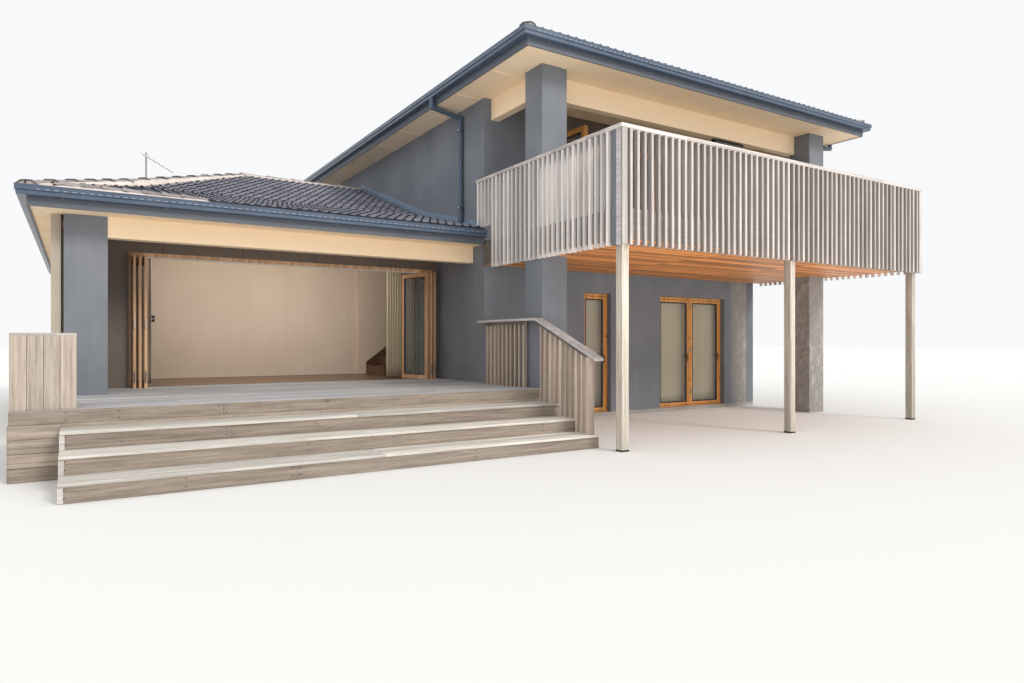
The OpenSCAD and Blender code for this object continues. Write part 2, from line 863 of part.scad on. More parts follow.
// Board along the slope of the steps, between y0 and y1, its lower edge at z at the deck's front
module slope_board(x, w, y0, y1, z, h) {
    z0 = z - (deck_front - y0) * slope_fall;
    translate([x + w, 0, 0]) rotate([0, -90, 0]) linear_extrude(w)
        polygon([[z0, y0], [z0 + h, y0], [z + h, y1], [z, y1]]);
}

// Upright batten from the highest tread below it up into the sloping rail, its nearer edge at y
module slope_batten(x, y) {
    back = y + batten_w;
    step_z = tread_top(floor((deck_front - nose - back) / going) + 1);
    z = deck_rail_z - rail_h / 2;
    translate([x + batten_t, 0, 0]) rotate([0, -90, 0]) linear_extrude(batten_t)
        polygon([[step_z, y], [z - (deck_front - y) * slope_fall, y],
            [z - (deck_front - back) * slope_fall, back], [step_z, back]]);
}

module wing_floor() {
    color("tan")
        slab(wing_x + wing_wall_t, bifold_y, deck_z - wing_floor_t, box_x, back_y - wing_wall_t,
            deck_z);
}

module wing_column() {
    color("slategray")
        slab(column_x, wing_front, 0, column_x + column_w, wing_front + column_w, wing_soffit_z);
}

// Left and back walls of the wing
module wing_walls() {
    color("gainsboro") difference() {
        union() {
            slab(wing_x, wing_front + wing_side_set, 0, wing_x + wing_wall_t, back_y, wing_soffit_z);
            slab(wing_x + wing_wall_t, back_y - wing_wall_t, 0, box_x, back_y, wing_soffit_z);
        }
        slab(wing_x - cut, wing_window_y, wing_sill_z, wing_x + wing_wall_t + cut,
            wing_window_y + wing_window_w, wing_head_z);
        slab(wing_window_x, back_y - wing_wall_t - cut, wing_sill_z,
            wing_window_x + wing_window_w, back_y + cut, wing_head_z);
    }
}

module wing_beam() {
    color("wheat")
        slab(column_x + column_w, wing_front, beam_z, box_x, wing_front + beam_t, wing_soffit_z);
}

// Dark panelled wall around the folding doors
bifold_side = 955;
bifold_in = 110;
bifold_x0 = wing_x + bifold_side;
bifold_x1 = box_x - bifold_in;
bifold_head = 2800;
bifold_wall_t = 120;
bifold_frame_w = 40;
bifold_head_h = 60;
module bifold_wall() {
    y1 = bifold_y + bifold_wall_t;
    color("dimgray") {
        slab(wing_x + wing_wall_t, bifold_y, bifold_head, box_x, y1, wing_soffit_z);
        slab(wing_x + wing_wall_t, bifold_y, deck_z, bifold_x0, y1, bifold_head);
        slab(bifold_x1, bifold_y, deck_z, box_x, y1, bifold_head);
    }
}

module bifold_frame() {
    y1 = bifold_y + bifold_wall_t;
    color("sandybrown") {
        slab(bifold_x0, bifold_y, deck_z, bifold_x0 + bifold_frame_w, y1, bifold_head);
        slab(bifold_x1 - bifold_frame_w, bifold_y, deck_z, bifold_x1, y1, bifold_head);
        slab(bifold_x0 + bifold_frame_w, bifold_y, bifold_head - bifold_head_h,
            bifold_x1 - bifold_frame_w, y1, bifold_head);
    }
}

// Folded leaves, three at each end of the opening; the last one at the right stands at an angle
bifold_leaf_w = 840;
bifold_leaf_out = 240;
bifold_step = 75;
bifold_fan = 11;
module bifold_leaves() {
    y0 = bifold_y - bifold_leaf_out;
    z1 = bifold_head - bifold_head_h - leaf_gap;
    color("sandybrown")
        for (i = [0:2]) {
            leaf_yz(bifold_x0 + bifold_frame_w + leaf_gap + leaf_t + i * bifold_step, y0, deck_z,
                bifold_leaf_w, z1);
            leaf_yz(bifold_x1 - bifold_frame_w - leaf_gap - i * bifold_step, y0, deck_z,
                bifold_leaf_w, z1, i == 2 ? bifold_fan : 0);
        }
}

// Wall across the wing behind the front room, with a short thicker end beside the stair
inner_wall_t = 150;
inner_nib_t = 100;
inner_nib_in = 165;
module inner_wall() {
    y0 = stair_y + stair_w;
    color("linen") {
        slab(wing_x + wing_wall_t, y0 + inner_nib_t, deck_z, box_x, y0 + inner_wall_t + inner_nib_t,
            wing_soffit_z);
        slab(stair_x - inner_nib_in, y0, deck_z, box_x, y0 + inner_nib_t, wing_soffit_z);
    }
}

// Flight of steps rising to the right, through the doorway in the box's side wall
string_t = 40;
string_h = 260;
stair_tread_t = 36;
stair_nose = 15;
module inner_stair() {
    y0 = stair_y + seat_gap;
    y1 = stair_y + stair_w - seat_gap;
    slope = stair_rise / stair_going;
    color("saddlebrown") {
        for (y = [y0, y1 - string_t])
            prism_xz(y, y + string_t, [[stair_x, deck_z], [stair_x, deck_z + string_h],
                [stair_end_x, upper_floor_z], [stair_end_x, upper_floor_z - string_h],
                [stair_x + string_h / slope / 2, deck_z]]);
        for (i = [1:stair_count]) {
            x = stair_x + (i - 1) * stair_going;
            z = deck_z + i * stair_rise;
            slab(x, y0 + string_t + seat_gap, z - stair_rise + seat_gap, x + stair_riser_t,
                y1 - string_t - seat_gap, z - (i < stair_count ? stair_tread_t + seat_gap : 0));
            if (i < stair_count)
                slab(x - stair_nose, y0 + string_t + seat_gap, z - stair_tread_t,
                    x + stair_going + stair_riser_t, y1 - string_t - seat_gap, z);
        }
    }
}

// Curtains on ceiling tracks, drawn to the sides in the wing and closed behind the glazed doors
curtain_t = 60;
curtain_back = 665;
curtain_left_w = 335;
curtain_right_w = 640;
curtain_over = 90;
curtain_clear = 20;
module curtains() {
    y0 = bifold_y + curtain_back;
    y1 = front_y + wall_t + curtain_clear;
    color("tan") {
        wing_curtain(bifold_x0 + bifold_frame_w, curtain_left_w, y0);
        wing_curtain(bifold_x1 - bifold_frame_w - curtain_right_w, curtain_right_w, y0);
        slab(door_a_x - curtain_over, y1, slab_t + curtain_clear, door_a_x + door_a_w + curtain_over,
            y1 + curtain_t, lining_z);
        slab(door_b_x - curtain_over, y1, slab_t + curtain_clear, door_b_x + door_b_w + curtain_over,
            y1 + curtain_t, lining_z);
    }
}

module wing_curtain(x, w, y) {
    slab(x, y, deck_z + curtain_clear, x + w, y + curtain_t, wing_soffit_z);
}

// Round downpipes: one on the box's left wall above the wing, one beside the right pier
pipe_r = 45;
pipe_play = 5;
elbow_over = 4;
pipe_off = 5;
left_pipe_back = 765;
left_pipe_y = front_y + left_pipe_back;
left_pipe_bend = 5460;
left_pipe_fall = 100;
right_pipe_back = 325;
right_pipe_y = pier_front + right_pipe_back;
right_pipe_bend = 5440;
right_pipe_fall = 105;
bracket_t = 20;
bracket_w = 130;
bracket_past = 3;
bracket_drops = [230, 1630];
module downpipes() {
    z_out = eave_z - gutter_h - gutter_drop;
    xl = box_x - pipe_off - pipe_r;
    xr = pier_right_x + pier_w + pipe_off + pipe_r;
    roof_z = wing_eave_z + (left_pipe_y - wing_rect[1]) * kink_rise / (kink_y - wing_rect[1]);
    color("slategray") {
        pipe_line([[upper_rect[0] - gutter_w / 2, left_pipe_y, z_out],
            [upper_rect[0] - gutter_w / 2, left_pipe_y, left_pipe_bend + left_pipe_fall],
            [xl, left_pipe_y, left_pipe_bend], [xl, left_pipe_y, roof_z + pipe_r]]);
        for (drop = bracket_drops)
            slab(xl - pipe_r - bracket_past, left_pipe_y - bracket_w / 2,
                left_pipe_bend - drop, box_x, left_pipe_y + bracket_w / 2,
                left_pipe_bend - drop + bracket_t);
        pipe_line([[upper_rect[2] + gutter_w / 2, right_pipe_y, z_out],
            [upper_rect[2] + gutter_w / 2, right_pipe_y, right_pipe_bend + right_pipe_fall],
            [xr, right_pipe_y, right_pipe_bend], [xr, right_pipe_y, 0]]);
    }
}

// Pipe through the given points, with a round elbow at each bend
module pipe_line(points) {
    for (i = [0:len(points) - 2]) {
        d = points[i + 1] - points[i];
        translate(points[i]) rotate([0, acos(d[2] / norm(d)), atan2(d[1], d[0])])
            cylinder(r = pipe_r, h = norm(d));
        if (i > 0) translate(points[i]) sphere(r = pipe_r + elbow_over);
    }
}

// Space beside the balcony, in front of the wall, that the wing's eaves leave free
balcony_clear = 2;
module beside_balcony() {
    slab(balcony_x - balcony_clear, balcony_y, 0, box_x + cut, front_y, soffit_z);
}

// Ceiling and eaves lining of the wing
module wing_soffit() {
    color("wheat") difference() {
        slab(wing_rect[0] + fascia_t, wing_rect[1] + fascia_t, wing_soffit_z, box_x,
            wing_rect[3] - fascia_t, wing_soffit_z + soffit_t);
        beside_balcony();
    }
}

// Wing roof lowered by t: its front slope has a kink, and its left slope is steeper
left_slope = (ridge_z - wing_eave_z) / (ridge_x - wing_rect[0]);
hip_kink_x = wing_rect[0] + kink_rise / left_slope;
module wing_roof_solid(t) {
    x0 = wing_rect[0];
    y0 = wing_rect[1];
    y3 = wing_rect[3];
    z = wing_eave_z - t;
    base = wing_soffit_z - roof_t;
    intersection() {
        prism_yz(x0, box_x, [[y0, base], [y0, z], [kink_y, kink_z - t], [ridge_y, ridge_z - t],
            [y3, z], [y3, base]]);
        prism_xz(y0, y3, [[x0, base], [x0, z], [box_x, z + (box_x - x0) * left_slope],
            [box_x, base]]);
    }
}

// Left slope, two front slopes that meet at the kink, and back slope
module wing_roof() {
    r = wing_rect;
    g = seat_gap;
    plans = [
        [[r[0] - g, r[1]], [hip_kink_x - g, kink_y], [ridge_x - g, ridge_y], [r[0] - g, r[3]]],
        [[r[0], r[1] - g], [r[2], r[1] - g], [r[2], kink_y - g], [hip_kink_x, kink_y - g]],
        [[hip_kink_x, kink_y], [r[2], kink_y], [r[2], ridge_y - g], [ridge_x, ridge_y - g]],
        [[ridge_x, ridge_y + g], [r[2], ridge_y + g], [r[2], r[3] + g], [r[0], r[3] + g]]];
    color("darkslategray")
        for (plan = plans)
            intersection() {
                difference() {
                    wing_roof_solid(roof_drop);
                    translate([0, 0, -roof_t]) wing_roof_solid(roof_drop);
                    beside_balcony();
                }
                slab(r[0] + fascia_t, r[1] + fascia_t, wing_soffit_z + soffit_t, r[2],
                    r[3] - fascia_t, soffit_z);
                translate([0, 0, wing_soffit_z]) linear_extrude(soffit_z) polygon(plan);
            }
}

module wing_fascia_board() {
    r = wing_rect;
    z0 = wing_soffit_z - fascia_down;
    z1 = wing_eave_z - gutter_drop;
    slab(r[0], r[1], z0, balcony_x - balcony_clear, r[1] + fascia_t, z1);
    slab(r[0], r[1], z0, r[0] + fascia_t, r[3], z1);
    slab(r[0], r[3] - fascia_t, z0, box_x, r[3], z1);
}

// Fascia boards of the wing and the open-topped gutters on them
module wing_gutter() {
    r = wing_rect;
    z1 = wing_eave_z - gutter_drop;
    z0 = z1 - gutter_h;
    o = [r[0] - gutter_w, r[1] - gutter_w, r[3] + gutter_w];
    w = gutter_wall;
    color("slategray") {
        wing_fascia_board();
        difference() {
            union() {
                slab(o[0], o[1], z0, balcony_x - balcony_clear, r[1], z1);
                slab(o[0], o[1], z0, r[0], o[2], z1);
                slab(o[0], r[3], z0, box_x, o[2], z1);
            }
            slab(o[0] + w, o[1] + w, z0 + w, balcony_x - balcony_clear - w, r[1] - w, z1 + cut);
            slab(o[0] + w, o[1] + w, z0 + w, r[0] - w, o[2] - w, z1 + cut);
            slab(o[0] + w, r[3] + w, z0 + w, box_x - w, o[2] - w, z1 + cut);
        }
    }
}

ground_slab();
ground_wall_left();
ground_wall_mid();
ground_wall_right();
ground_wall_head();
left_wall();
right_wall();
back_wall();
upper_floor();
upper_front_wall();
left_pier();
right_pier();
upper_beams();
upper_soffit();
upper_roof();
upper_fascia();
upper_gutter();
balcony_frame();
balcony_deck();
balcony_front();
balcony_left();
balcony_right();
balcony_posts();
door_frames();
narrow_door();
pair_door_left();
pair_door_right();
upper_panel_wall();
upper_doors();
windows();
deck_floor();
deck_base();
steps();
step_frame();
planter_box();
deck_screen();
stair_screen();
wing_floor();
wing_column();
wing_walls();
wing_beam();
bifold_wall();
bifold_frame();
bifold_leaves();
inner_wall();
inner_stair();
curtains();
wing_soffit();
wing_roof();
wing_gutter();
roof_caps();
downpipes();
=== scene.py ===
"""Beach house: rendered walls, tiled roofs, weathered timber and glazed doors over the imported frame."""
import json
import logging
import math
import random
from dataclasses import dataclass
from enum import Enum
from typing import Iterable, Sequence

import bmesh
import bpy
from mathutils import Matrix, Vector

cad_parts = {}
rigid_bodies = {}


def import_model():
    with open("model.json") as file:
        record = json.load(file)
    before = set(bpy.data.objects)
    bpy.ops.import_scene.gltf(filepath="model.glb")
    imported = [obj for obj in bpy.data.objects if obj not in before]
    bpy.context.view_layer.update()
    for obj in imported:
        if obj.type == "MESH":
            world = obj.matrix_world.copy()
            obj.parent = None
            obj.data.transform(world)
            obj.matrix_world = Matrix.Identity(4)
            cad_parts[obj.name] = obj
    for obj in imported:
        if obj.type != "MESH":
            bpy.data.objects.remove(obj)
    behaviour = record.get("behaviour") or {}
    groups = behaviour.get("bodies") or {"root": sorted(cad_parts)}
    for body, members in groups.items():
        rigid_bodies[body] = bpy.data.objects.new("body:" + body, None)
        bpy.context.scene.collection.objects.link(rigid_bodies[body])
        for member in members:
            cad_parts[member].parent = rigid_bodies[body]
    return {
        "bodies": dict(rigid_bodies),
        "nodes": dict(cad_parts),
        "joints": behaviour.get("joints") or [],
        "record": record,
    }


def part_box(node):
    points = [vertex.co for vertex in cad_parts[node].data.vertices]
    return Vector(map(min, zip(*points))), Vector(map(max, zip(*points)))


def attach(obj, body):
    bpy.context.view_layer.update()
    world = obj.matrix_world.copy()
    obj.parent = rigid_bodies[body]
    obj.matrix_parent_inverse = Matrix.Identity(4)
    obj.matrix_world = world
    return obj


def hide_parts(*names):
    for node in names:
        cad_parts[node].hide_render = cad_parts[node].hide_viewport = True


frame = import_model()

log = logging.getLogger("beach_house")
Colour = tuple[float, float, float, float]
Point = Sequence[float]
Line = tuple[Point, Point]
Feed = bpy.types.Node | bpy.types.NodeSocket | float | str | Sequence[float]

# Places in metres that several sub-assemblies share
BOX_LEFT, BOX_FRONT = -3.5, -0.115
RIM_LEFT, RIM_RIGHT, RIM_FRONT = -3.55, 3.65, -3.715
DECK_TOP, DECK_FRONT, DECK_BACK = 0.714, -1.875, 1.685
STEP_RISE, STEP_GOING = 0.1785, 0.44
BATTEN_STEP = 0.123
KINK_Y, RIDGE_Y = 2.285, 5.885
# Lowest x and y and highest x and y of the tiled slopes in plan
UPPER_EAVES = (-4.06, -2.31, 4.14, 11.285)
WING_EAVES = (-9.935, -0.205, BOX_LEFT, 11.135)


def paint(red: int, green: int, blue: int) -> Colour:
    """Turns a colour as the eye sees it into the linear colour that a shader takes.

    Args:
        red: Red from 0 to 255.
        green: Green from 0 to 255.
        blue: Blue from 0 to 255.

    Returns:
        The linear colour, opaque.
    """
    def linear(value: float) -> float:
        """One channel, made linear."""
        value /= 255
        return value / 12.92 if value <= 0.04045 else ((value + 0.055) / 1.055) ** 2.4

    return (linear(red), linear(green), linear(blue), 1.0)


class Run(Enum):
    """Axis along which boards or rows run."""

    X = 0
    Y = 1
    Z = 2


class Slot(Enum):
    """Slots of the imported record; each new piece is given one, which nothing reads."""

    LINING = "cream_lining"
    TILE = "roof_tile"
    FASCIA = "fascia"
    GUTTER = "gutter"
    CEDAR = "cedar"
    WEATHERED = "weathered_timber"
    BATTENS = "battens"
    POST = "post_timber"
    DOOR = "door_timber"
    WINDOW = "window_frame"
    DECK = "deck_boards"
    DARK = "dark_panel"
    CURTAIN = "curtain"


class Wiring:
    """Adds and joins the nodes of one tree."""

    def __init__(self, tree: bpy.types.NodeTree) -> None:
        """Keeps the tree that is wired."""
        self.tree = tree

    def node(self, kind: str, feeds: dict[str | int, Feed] | None = None,
             **settings: str | bool) -> bpy.types.Node:
        """Adds a node.

        Args:
            kind: The node's type name.
            feeds: Values, sockets or nodes for its inputs, by name or number.
            **settings: Properties of the node.

        Returns:
            The new node.
        """
        made = self.tree.nodes.new(kind)
        for key, value in settings.items():
            setattr(made, key, value)
        for key, value in (feeds or {}).items():
            self.feed(made.inputs[key], value)
        return made

    def feed(self, socket: bpy.types.NodeSocket, value: Feed) -> None:
        """Gives an input a value, or links a socket or a node's first output to it.

        Args:
            socket: The input.
            value: What it gets.
        """
        if isinstance(value, bpy.types.Node):
            value = next(out for out in value.outputs if out.enabled)
        if isinstance(value, bpy.types.NodeSocket):
            self.tree.links.new(value, socket)
        else:
            socket.default_value = value

    def sum(self, kind: str, first: Feed, second: Feed = 0.0) -> bpy.types.NodeSocket:
        """Output of a Math node."""
        return self.node("ShaderNodeMath", {0: first, 1: second}, operation=kind).outputs[0]

    def blend(self, share: Feed, first: Feed, second: Feed, kind: str = "MIX") -> bpy.types.NodeSocket:
        """Output of a colour Mix node."""
        made = self.node("ShaderNodeMix", {0: share, 6: first, 7: second}, data_type="RGBA",
                         blend_type=kind)
        return made.outputs[2]

    def place(self, scale: Point = (1, 1, 1), turn: Point = (0, 0, 0)) -> bpy.types.NodeSocket:
        """Object coordinates, scaled and turned."""
        where = self.node("ShaderNodeTexCoord").outputs["Object"]
        return self.node("ShaderNodeMapping", {"Vector": where, "Scale": scale, "Rotation": turn}).outputs[0]

    def noise(self, vector: Feed, scale: float, detail: float = 3.0,
              rough: float = 0.55) -> bpy.types.NodeSocket:
        """Factor of a Noise texture."""
        return self.node("ShaderNodeTexNoise", {"Vector": vector, "Scale": scale, "Detail": detail,
                                                "Roughness": rough}).outputs[0]

    def spread(self, value: Feed, low: float, high: float, to_low: float = 0.0,
               to_high: float = 1.0) -> bpy.types.NodeSocket:
        """A value stretched from one range to another and held inside it."""
        return self.node("ShaderNodeMapRange", {0: value, 1: low, 2: high, 3: to_low, 4: to_high}).outputs[0]

    def bump(self, height: Feed, strength: float, distance: float,
             under: Feed | None = None) -> bpy.types.NodeSocket:
        """Roughens a surface.

        Args:
            height: Height of the bumps, from 0 to 1.
            strength: How much they show.
            distance: Their height in metres where the factor is 1.
            under: Normal of the bumps that these lie on.

        Returns:
            The normal.
        """
        feeds = {"Height": height, "Strength": strength, "Distance": distance}
        if under is not None:
            feeds["Normal"] = under
        return self.node("ShaderNodeBump", feeds).outputs[0]


@dataclass(frozen=True)
class Finish:
    """Look of one material: its two colours and its roughness."""

    name: str
    colour: Colour
    other: Colour
    rough: float = 0.8

    def surface(self) -> bpy.types.Material:
        """Makes the material when it is first asked for, under a name that no frame material has.

        Returns:
            The material.
        """
        label = f"finish_{self.name}"
        made = bpy.data.materials.get(label)
        if made is None:
            made = bpy.data.materials.new(label)
            made.use_nodes = True
            shader = made.node_tree.nodes["Principled BSDF"]
            shader.inputs["Roughness"].default_value = self.rough
            self.wire(Wiring(made.node_tree), shader)
        return made

    def wire(self, w: Wiring, shader: bpy.types.Node) -> None:
        """Wires colour and surface, which each kind of finish does in its own way.

        Args:
            w: Wiring of the material's tree.
            shader: Its Principled shader.
        """
        raise NotImplementedError


@dataclass(frozen=True)
class Render(Finish):
    """Trowelled render: cloudy colour, faint runs below, a hand-made surface and, where asked, rough patches
    with painted sunlight on them.
    """

    rough_sunlit_from: float = 0.0
    painted_sunlight: Colour = paint(182, 175, 167)

    def wire(self, w: Wiring, shader: bpy.types.Node) -> None:
        """Wires clouds, faint upright runs, trowel marks and, past a given x and low down, rough patches with
        painted sunlight on them.

        Args:
            w: Wiring of the material's tree.
            shader: Its Principled shader.
        """
        clouds = w.spread(w.noise(w.place((1, 1, 0.7)), 1.3, 6.0), 0.3, 0.72)
        runs = w.spread(w.noise(w.place((7, 7, 0.5)), 2.0, 4.0), 0.45, 0.75, 0.0, 0.35)
        tone = w.blend(clouds, self.colour, self.other)
        tone = w.blend(runs, tone, self.other)
        trowel = w.noise(w.place((1, 1, 0.45)), 9.0, 4.0, 0.6)
        normal = w.bump(trowel, 0.35, 0.012)
        normal = w.bump(w.noise(w.place(), 140.0, 2.0), 0.25, 0.0025, normal)
        # Past the given x and below about 2.6 m: a rough, chipped surface, paled towards a painted sunlit
        # patch and darker in the chips' hollows.
        if self.rough_sunlit_from:
            chips = w.spread(w.noise(w.place((1, 1, 0.8)), 5.0, 8.0, 0.68), 0.42, 0.6)
            axes = w.node("ShaderNodeSeparateXYZ", {0: w.place()}).outputs
            below = w.spread(axes[2], 2.6, 2.9, 1.0, 0.0)
            near = w.sum("MULTIPLY", w.spread(axes[0], self.rough_sunlit_from - 0.3, self.rough_sunlit_from), below)
            tone = w.blend(w.sum("MULTIPLY", near, 0.85), tone, self.painted_sunlight)
            tone = w.blend(w.sum("MULTIPLY", near, w.spread(chips, 0.2, 0.9, 0.25, 0.0)), tone, self.other)
            normal = w.bump(w.sum("MULTIPLY", chips, near), 0.9, 0.03, normal)
        w.feed(shader.inputs["Base Color"], tone)
        w.feed(shader.inputs["Normal"], normal)


@dataclass(frozen=True)
class Timber(Finish):
    """Boards with grain along one direction; each board has a tone of its own."""

    run: Run = Run.X
    board: tuple[float, float, float] = (0.0, 0.0, 0.0)
    shift: tuple[float, float, float] = (0.0, 0.0, 0.0)
    by_piece: bool = False
    grain: float = 1.0
    knots: float = 0.0
    knot: Colour = paint(70, 55, 45)
    vary: float = 0.22
    # Axis whose faces get painted shading, and the factor of that shading.
    sides: Run | None = None
    painted_side_shading: float = 1.0

    def wire(self, w: Wiring, shader: bpy.types.Node) -> None:
        """Wires long grain, fine fibres and a tone for each board.

        Where the finish asks for them, it adds knots and paints shading on the sides along one axis: painted
        shade below a factor of 1, painted light above it.

        Args:
            w: Wiring of the material's tree.
            shader: Its Principled shader.
        """
        along = [1.0, 1.0, 1.0]
        along[self.run.value] = 0.045
        if self.by_piece:
            tone = w.node("ShaderNodeAttribute", attribute_name="tone").outputs["Fac"]
            seat = w.node("ShaderNodeVectorMath", {0: w.place(tuple(along)), 1: w.node(
                "ShaderNodeCombineXYZ", {0: tone, 1: tone, 2: tone})}, operation="ADD").outputs[0]
        else:
            steps = []
            axes = w.node("ShaderNodeSeparateXYZ", {0: w.place()}).outputs
            for axis in range(3):
                if self.board[axis]:
                    moved = w.sum("SUBTRACT", axes[axis], self.shift[axis])
                    steps.append(w.sum("FLOOR", w.sum("DIVIDE", moved, self.board[axis])))
                else:
                    steps.append(0.0)
            cell = w.node("ShaderNodeCombineXYZ", dict(enumerate(steps)))
            dice = w.node("ShaderNodeTexWhiteNoise", {"Vector": cell}, noise_dimensions="3D")
            tone = dice.outputs["Value"]
            seat = w.node("ShaderNodeVectorMath", {0: w.place(tuple(along)), 1: dice.outputs["Color"]},
                          operation="ADD").outputs[0]
        streaks = w.noise(seat, 26.0 * self.grain, 6.0, 0.65)
        fibres = w.noise(seat, 190.0 * self.grain, 2.0, 0.5)
        share = w.spread(w.sum("ADD", w.sum("MULTIPLY", streaks, 0.75), w.sum("MULTIPLY", fibres, 0.25)),
                         0.34, 0.66)
        base = w.blend(share, self.colour, self.other)
        dark, light = 1 - 1.27 * self.vary, 1 + 0.73 * self.vary
        base = w.blend(1.0, base, w.blend(tone, (dark, dark, dark, 1), (light, light, light, 1)), "MULTIPLY")
        # Painted shading: faces that look along one axis are multiplied by a factor, for how light falls on
        # the sides of boards.
        if self.sides is not None:
            facing = w.node("ShaderNodeSeparateXYZ", {0: w.node("ShaderNodeTexCoord").outputs["Normal"]})
            share = w.spread(w.sum("ABSOLUTE", facing.outputs[self.sides.value]), 0.4, 0.6)
            base = w.blend(share, base, (self.painted_side_shading, self.painted_side_shading, self.painted_side_shading, 1), "MULTIPLY")
        if self.knots:
            spots = w.node("ShaderNodeTexVoronoi", {"Vector": w.place(tuple(
                0.4 if axis == self.run.value else 1.0 for axis in range(3))), "Scale": 3.4}).outputs[0]
            base = w.blend(w.spread(spots, 0.02, 0.07, self.knots, 0.0), base, self.knot)
        w.feed(shader.inputs["Base Color"], base)
        w.feed(shader.inputs["Normal"], w.bump(streaks, 0.3, 0.004))


@dataclass(frozen=True)
class Tile(Finish):
    """Concrete roof tile, each with a tone of its own, pale dust on it, and a painted shadow, partly algae,
    on the faces that look down.
    """

    dust: Colour = (0.3, 0.3, 0.32, 1.0)
    # Upward part of the face normal below which the painted shadow sets in.
    edge: float = 0.35
    shadow: Colour = paint(24, 25, 34)

    def wire(self, w: Wiring, shader: bpy.types.Node) -> None:
        """Wires a tone for each tile, speckles, soft pale dust and the painted shadow, partly algae, on faces
        that look down.

        Args:
            w: Wiring of the material's tree.
            shader: Its Principled shader.
        """
        tone = w.node("ShaderNodeAttribute", attribute_name="tone").outputs["Fac"]
        base = w.blend(tone, self.colour, self.other)
        dust = w.spread(w.noise(w.place(), 2.2, 6.0, 0.7), 0.48, 0.75, 0.0, 0.45)
        base = w.blend(dust, base, self.dust)
        grit = w.noise(w.place(), 130.0, 3.0)
        base = w.blend(w.spread(grit, 0.35, 0.75, 0.0, 0.35), base, self.colour)
        # Painted shadow, partly algae: faces that look down, such as the tiles' butts and the caps' lapped
        # ends, take the dark colour.
        facing = w.node("ShaderNodeSeparateXYZ", {0: w.node("ShaderNodeTexCoord").outputs["Normal"]})
        share = w.spread(facing.outputs[2], self.edge - 0.15, self.edge + 0.15, 0.9, 0.0)
        base = w.blend(share, base, self.shadow)
        w.feed(shader.inputs["Base Color"], base)
        w.feed(shader.inputs["Normal"], w.bump(grit, 0.3, 0.002))


@dataclass(frozen=True)
class Coating(Finish):
    """Paint on metal or sheet: nearly even, with dust in faint runs."""

    fine: float = 60.0

    def wire(self, w: Wiring, shader: bpy.types.Node) -> None:
        """Wires faint dust and a barely uneven surface.

        Args:
            w: Wiring of the material's tree.
            shader: Its Principled shader.
        """
        dust = w.spread(w.noise(w.place((1, 1, 0.4)), 3.5, 6.0, 0.65), 0.45, 0.8, 0.0, 0.6)
        w.feed(shader.inputs["Base Color"], w.blend(dust, self.colour, self.other))
        w.feed(shader.inputs["Normal"], w.bump(w.noise(w.place(), self.fine, 2.0), 0.08, 0.002))


@dataclass(frozen=True)
class Metal(Finish):
    """Bare or plated metal with light scuffs."""

    def wire(self, w: Wiring, shader: bpy.types.Node) -> None:
        """Wires scuffs into colour and roughness.

        Args:
            w: Wiring of the material's tree.
            shader: Its Principled shader.
        """
        shader.inputs["Metallic"].default_value = 1.0
        scuffs = w.noise(w.place(), 40.0, 4.0)
        w.feed(shader.inputs["Base Color"], w.blend(scuffs, self.colour, self.other))
        w.feed(shader.inputs["Roughness"], w.spread(scuffs, 0.3, 0.7, self.rough - 0.1, self.rough + 0.1))


@dataclass(frozen=True)
class Pane(Finish):
    """Clear glass that the light passes through."""

    alpha: float = 0.2

    def wire(self, w: Wiring, shader: bpy.types.Node) -> None:
        """Sets the pane's see-through share and wires a trace of dust on it.

        Args:
            w: Wiring of the material's tree.
            shader: Its Principled shader.
        """
        shader.inputs["Alpha"].default_value = self.alpha
        dust = w.spread(w.noise(w.place(), 2.0, 4.0), 0.4, 0.8)
        w.feed(shader.inputs["Base Color"], w.blend(dust, self.colour, self.other))


@dataclass(frozen=True)
class Weave(Finish):
    """Woven curtain cloth: threads in both directions and soft vertical shading."""

    def wire(self, w: Wiring, shader: bpy.types.Node) -> None:
        """Wires warp and weft on the sheet's own map.

        Args:
            w: Wiring of the material's tree.
            shader: Its Principled shader.
        """
        shader.inputs["Sheen Weight"].default_value = 0.25
        chart = w.node("ShaderNodeUVMap", uv_map="cloth").outputs[0]
        warp = w.node("ShaderNodeTexWave", {"Vector": chart, "Scale": 160.0, "Distortion": 0.6},
                      bands_direction="X").outputs["Fac"]
        weft = w.node("ShaderNodeTexWave", {"Vector": chart, "Scale": 160.0, "Distortion": 0.6},
                      bands_direction="Y").outputs["Fac"]
        thread = w.sum("MULTIPLY", w.sum("ADD", warp, weft), 0.5)
        long = w.node("ShaderNodeMapping", {"Vector": chart, "Scale": (3, 60, 1)})
        slub = w.spread(w.noise(long, 4.0, 4.0), 0.35, 0.7)
        tone = w.blend(w.sum("ADD", w.sum("MULTIPLY", thread, 0.4), w.sum("MULTIPLY", slub, 0.6)),
                       self.colour, self.other)
        w.feed(shader.inputs["Base Color"], tone)
        w.feed(shader.inputs["Normal"], w.bump(thread, 0.3, 0.0006))


WALL = Render("trowelled_render", paint(130, 133, 139), paint(109, 114, 121), 0.9)
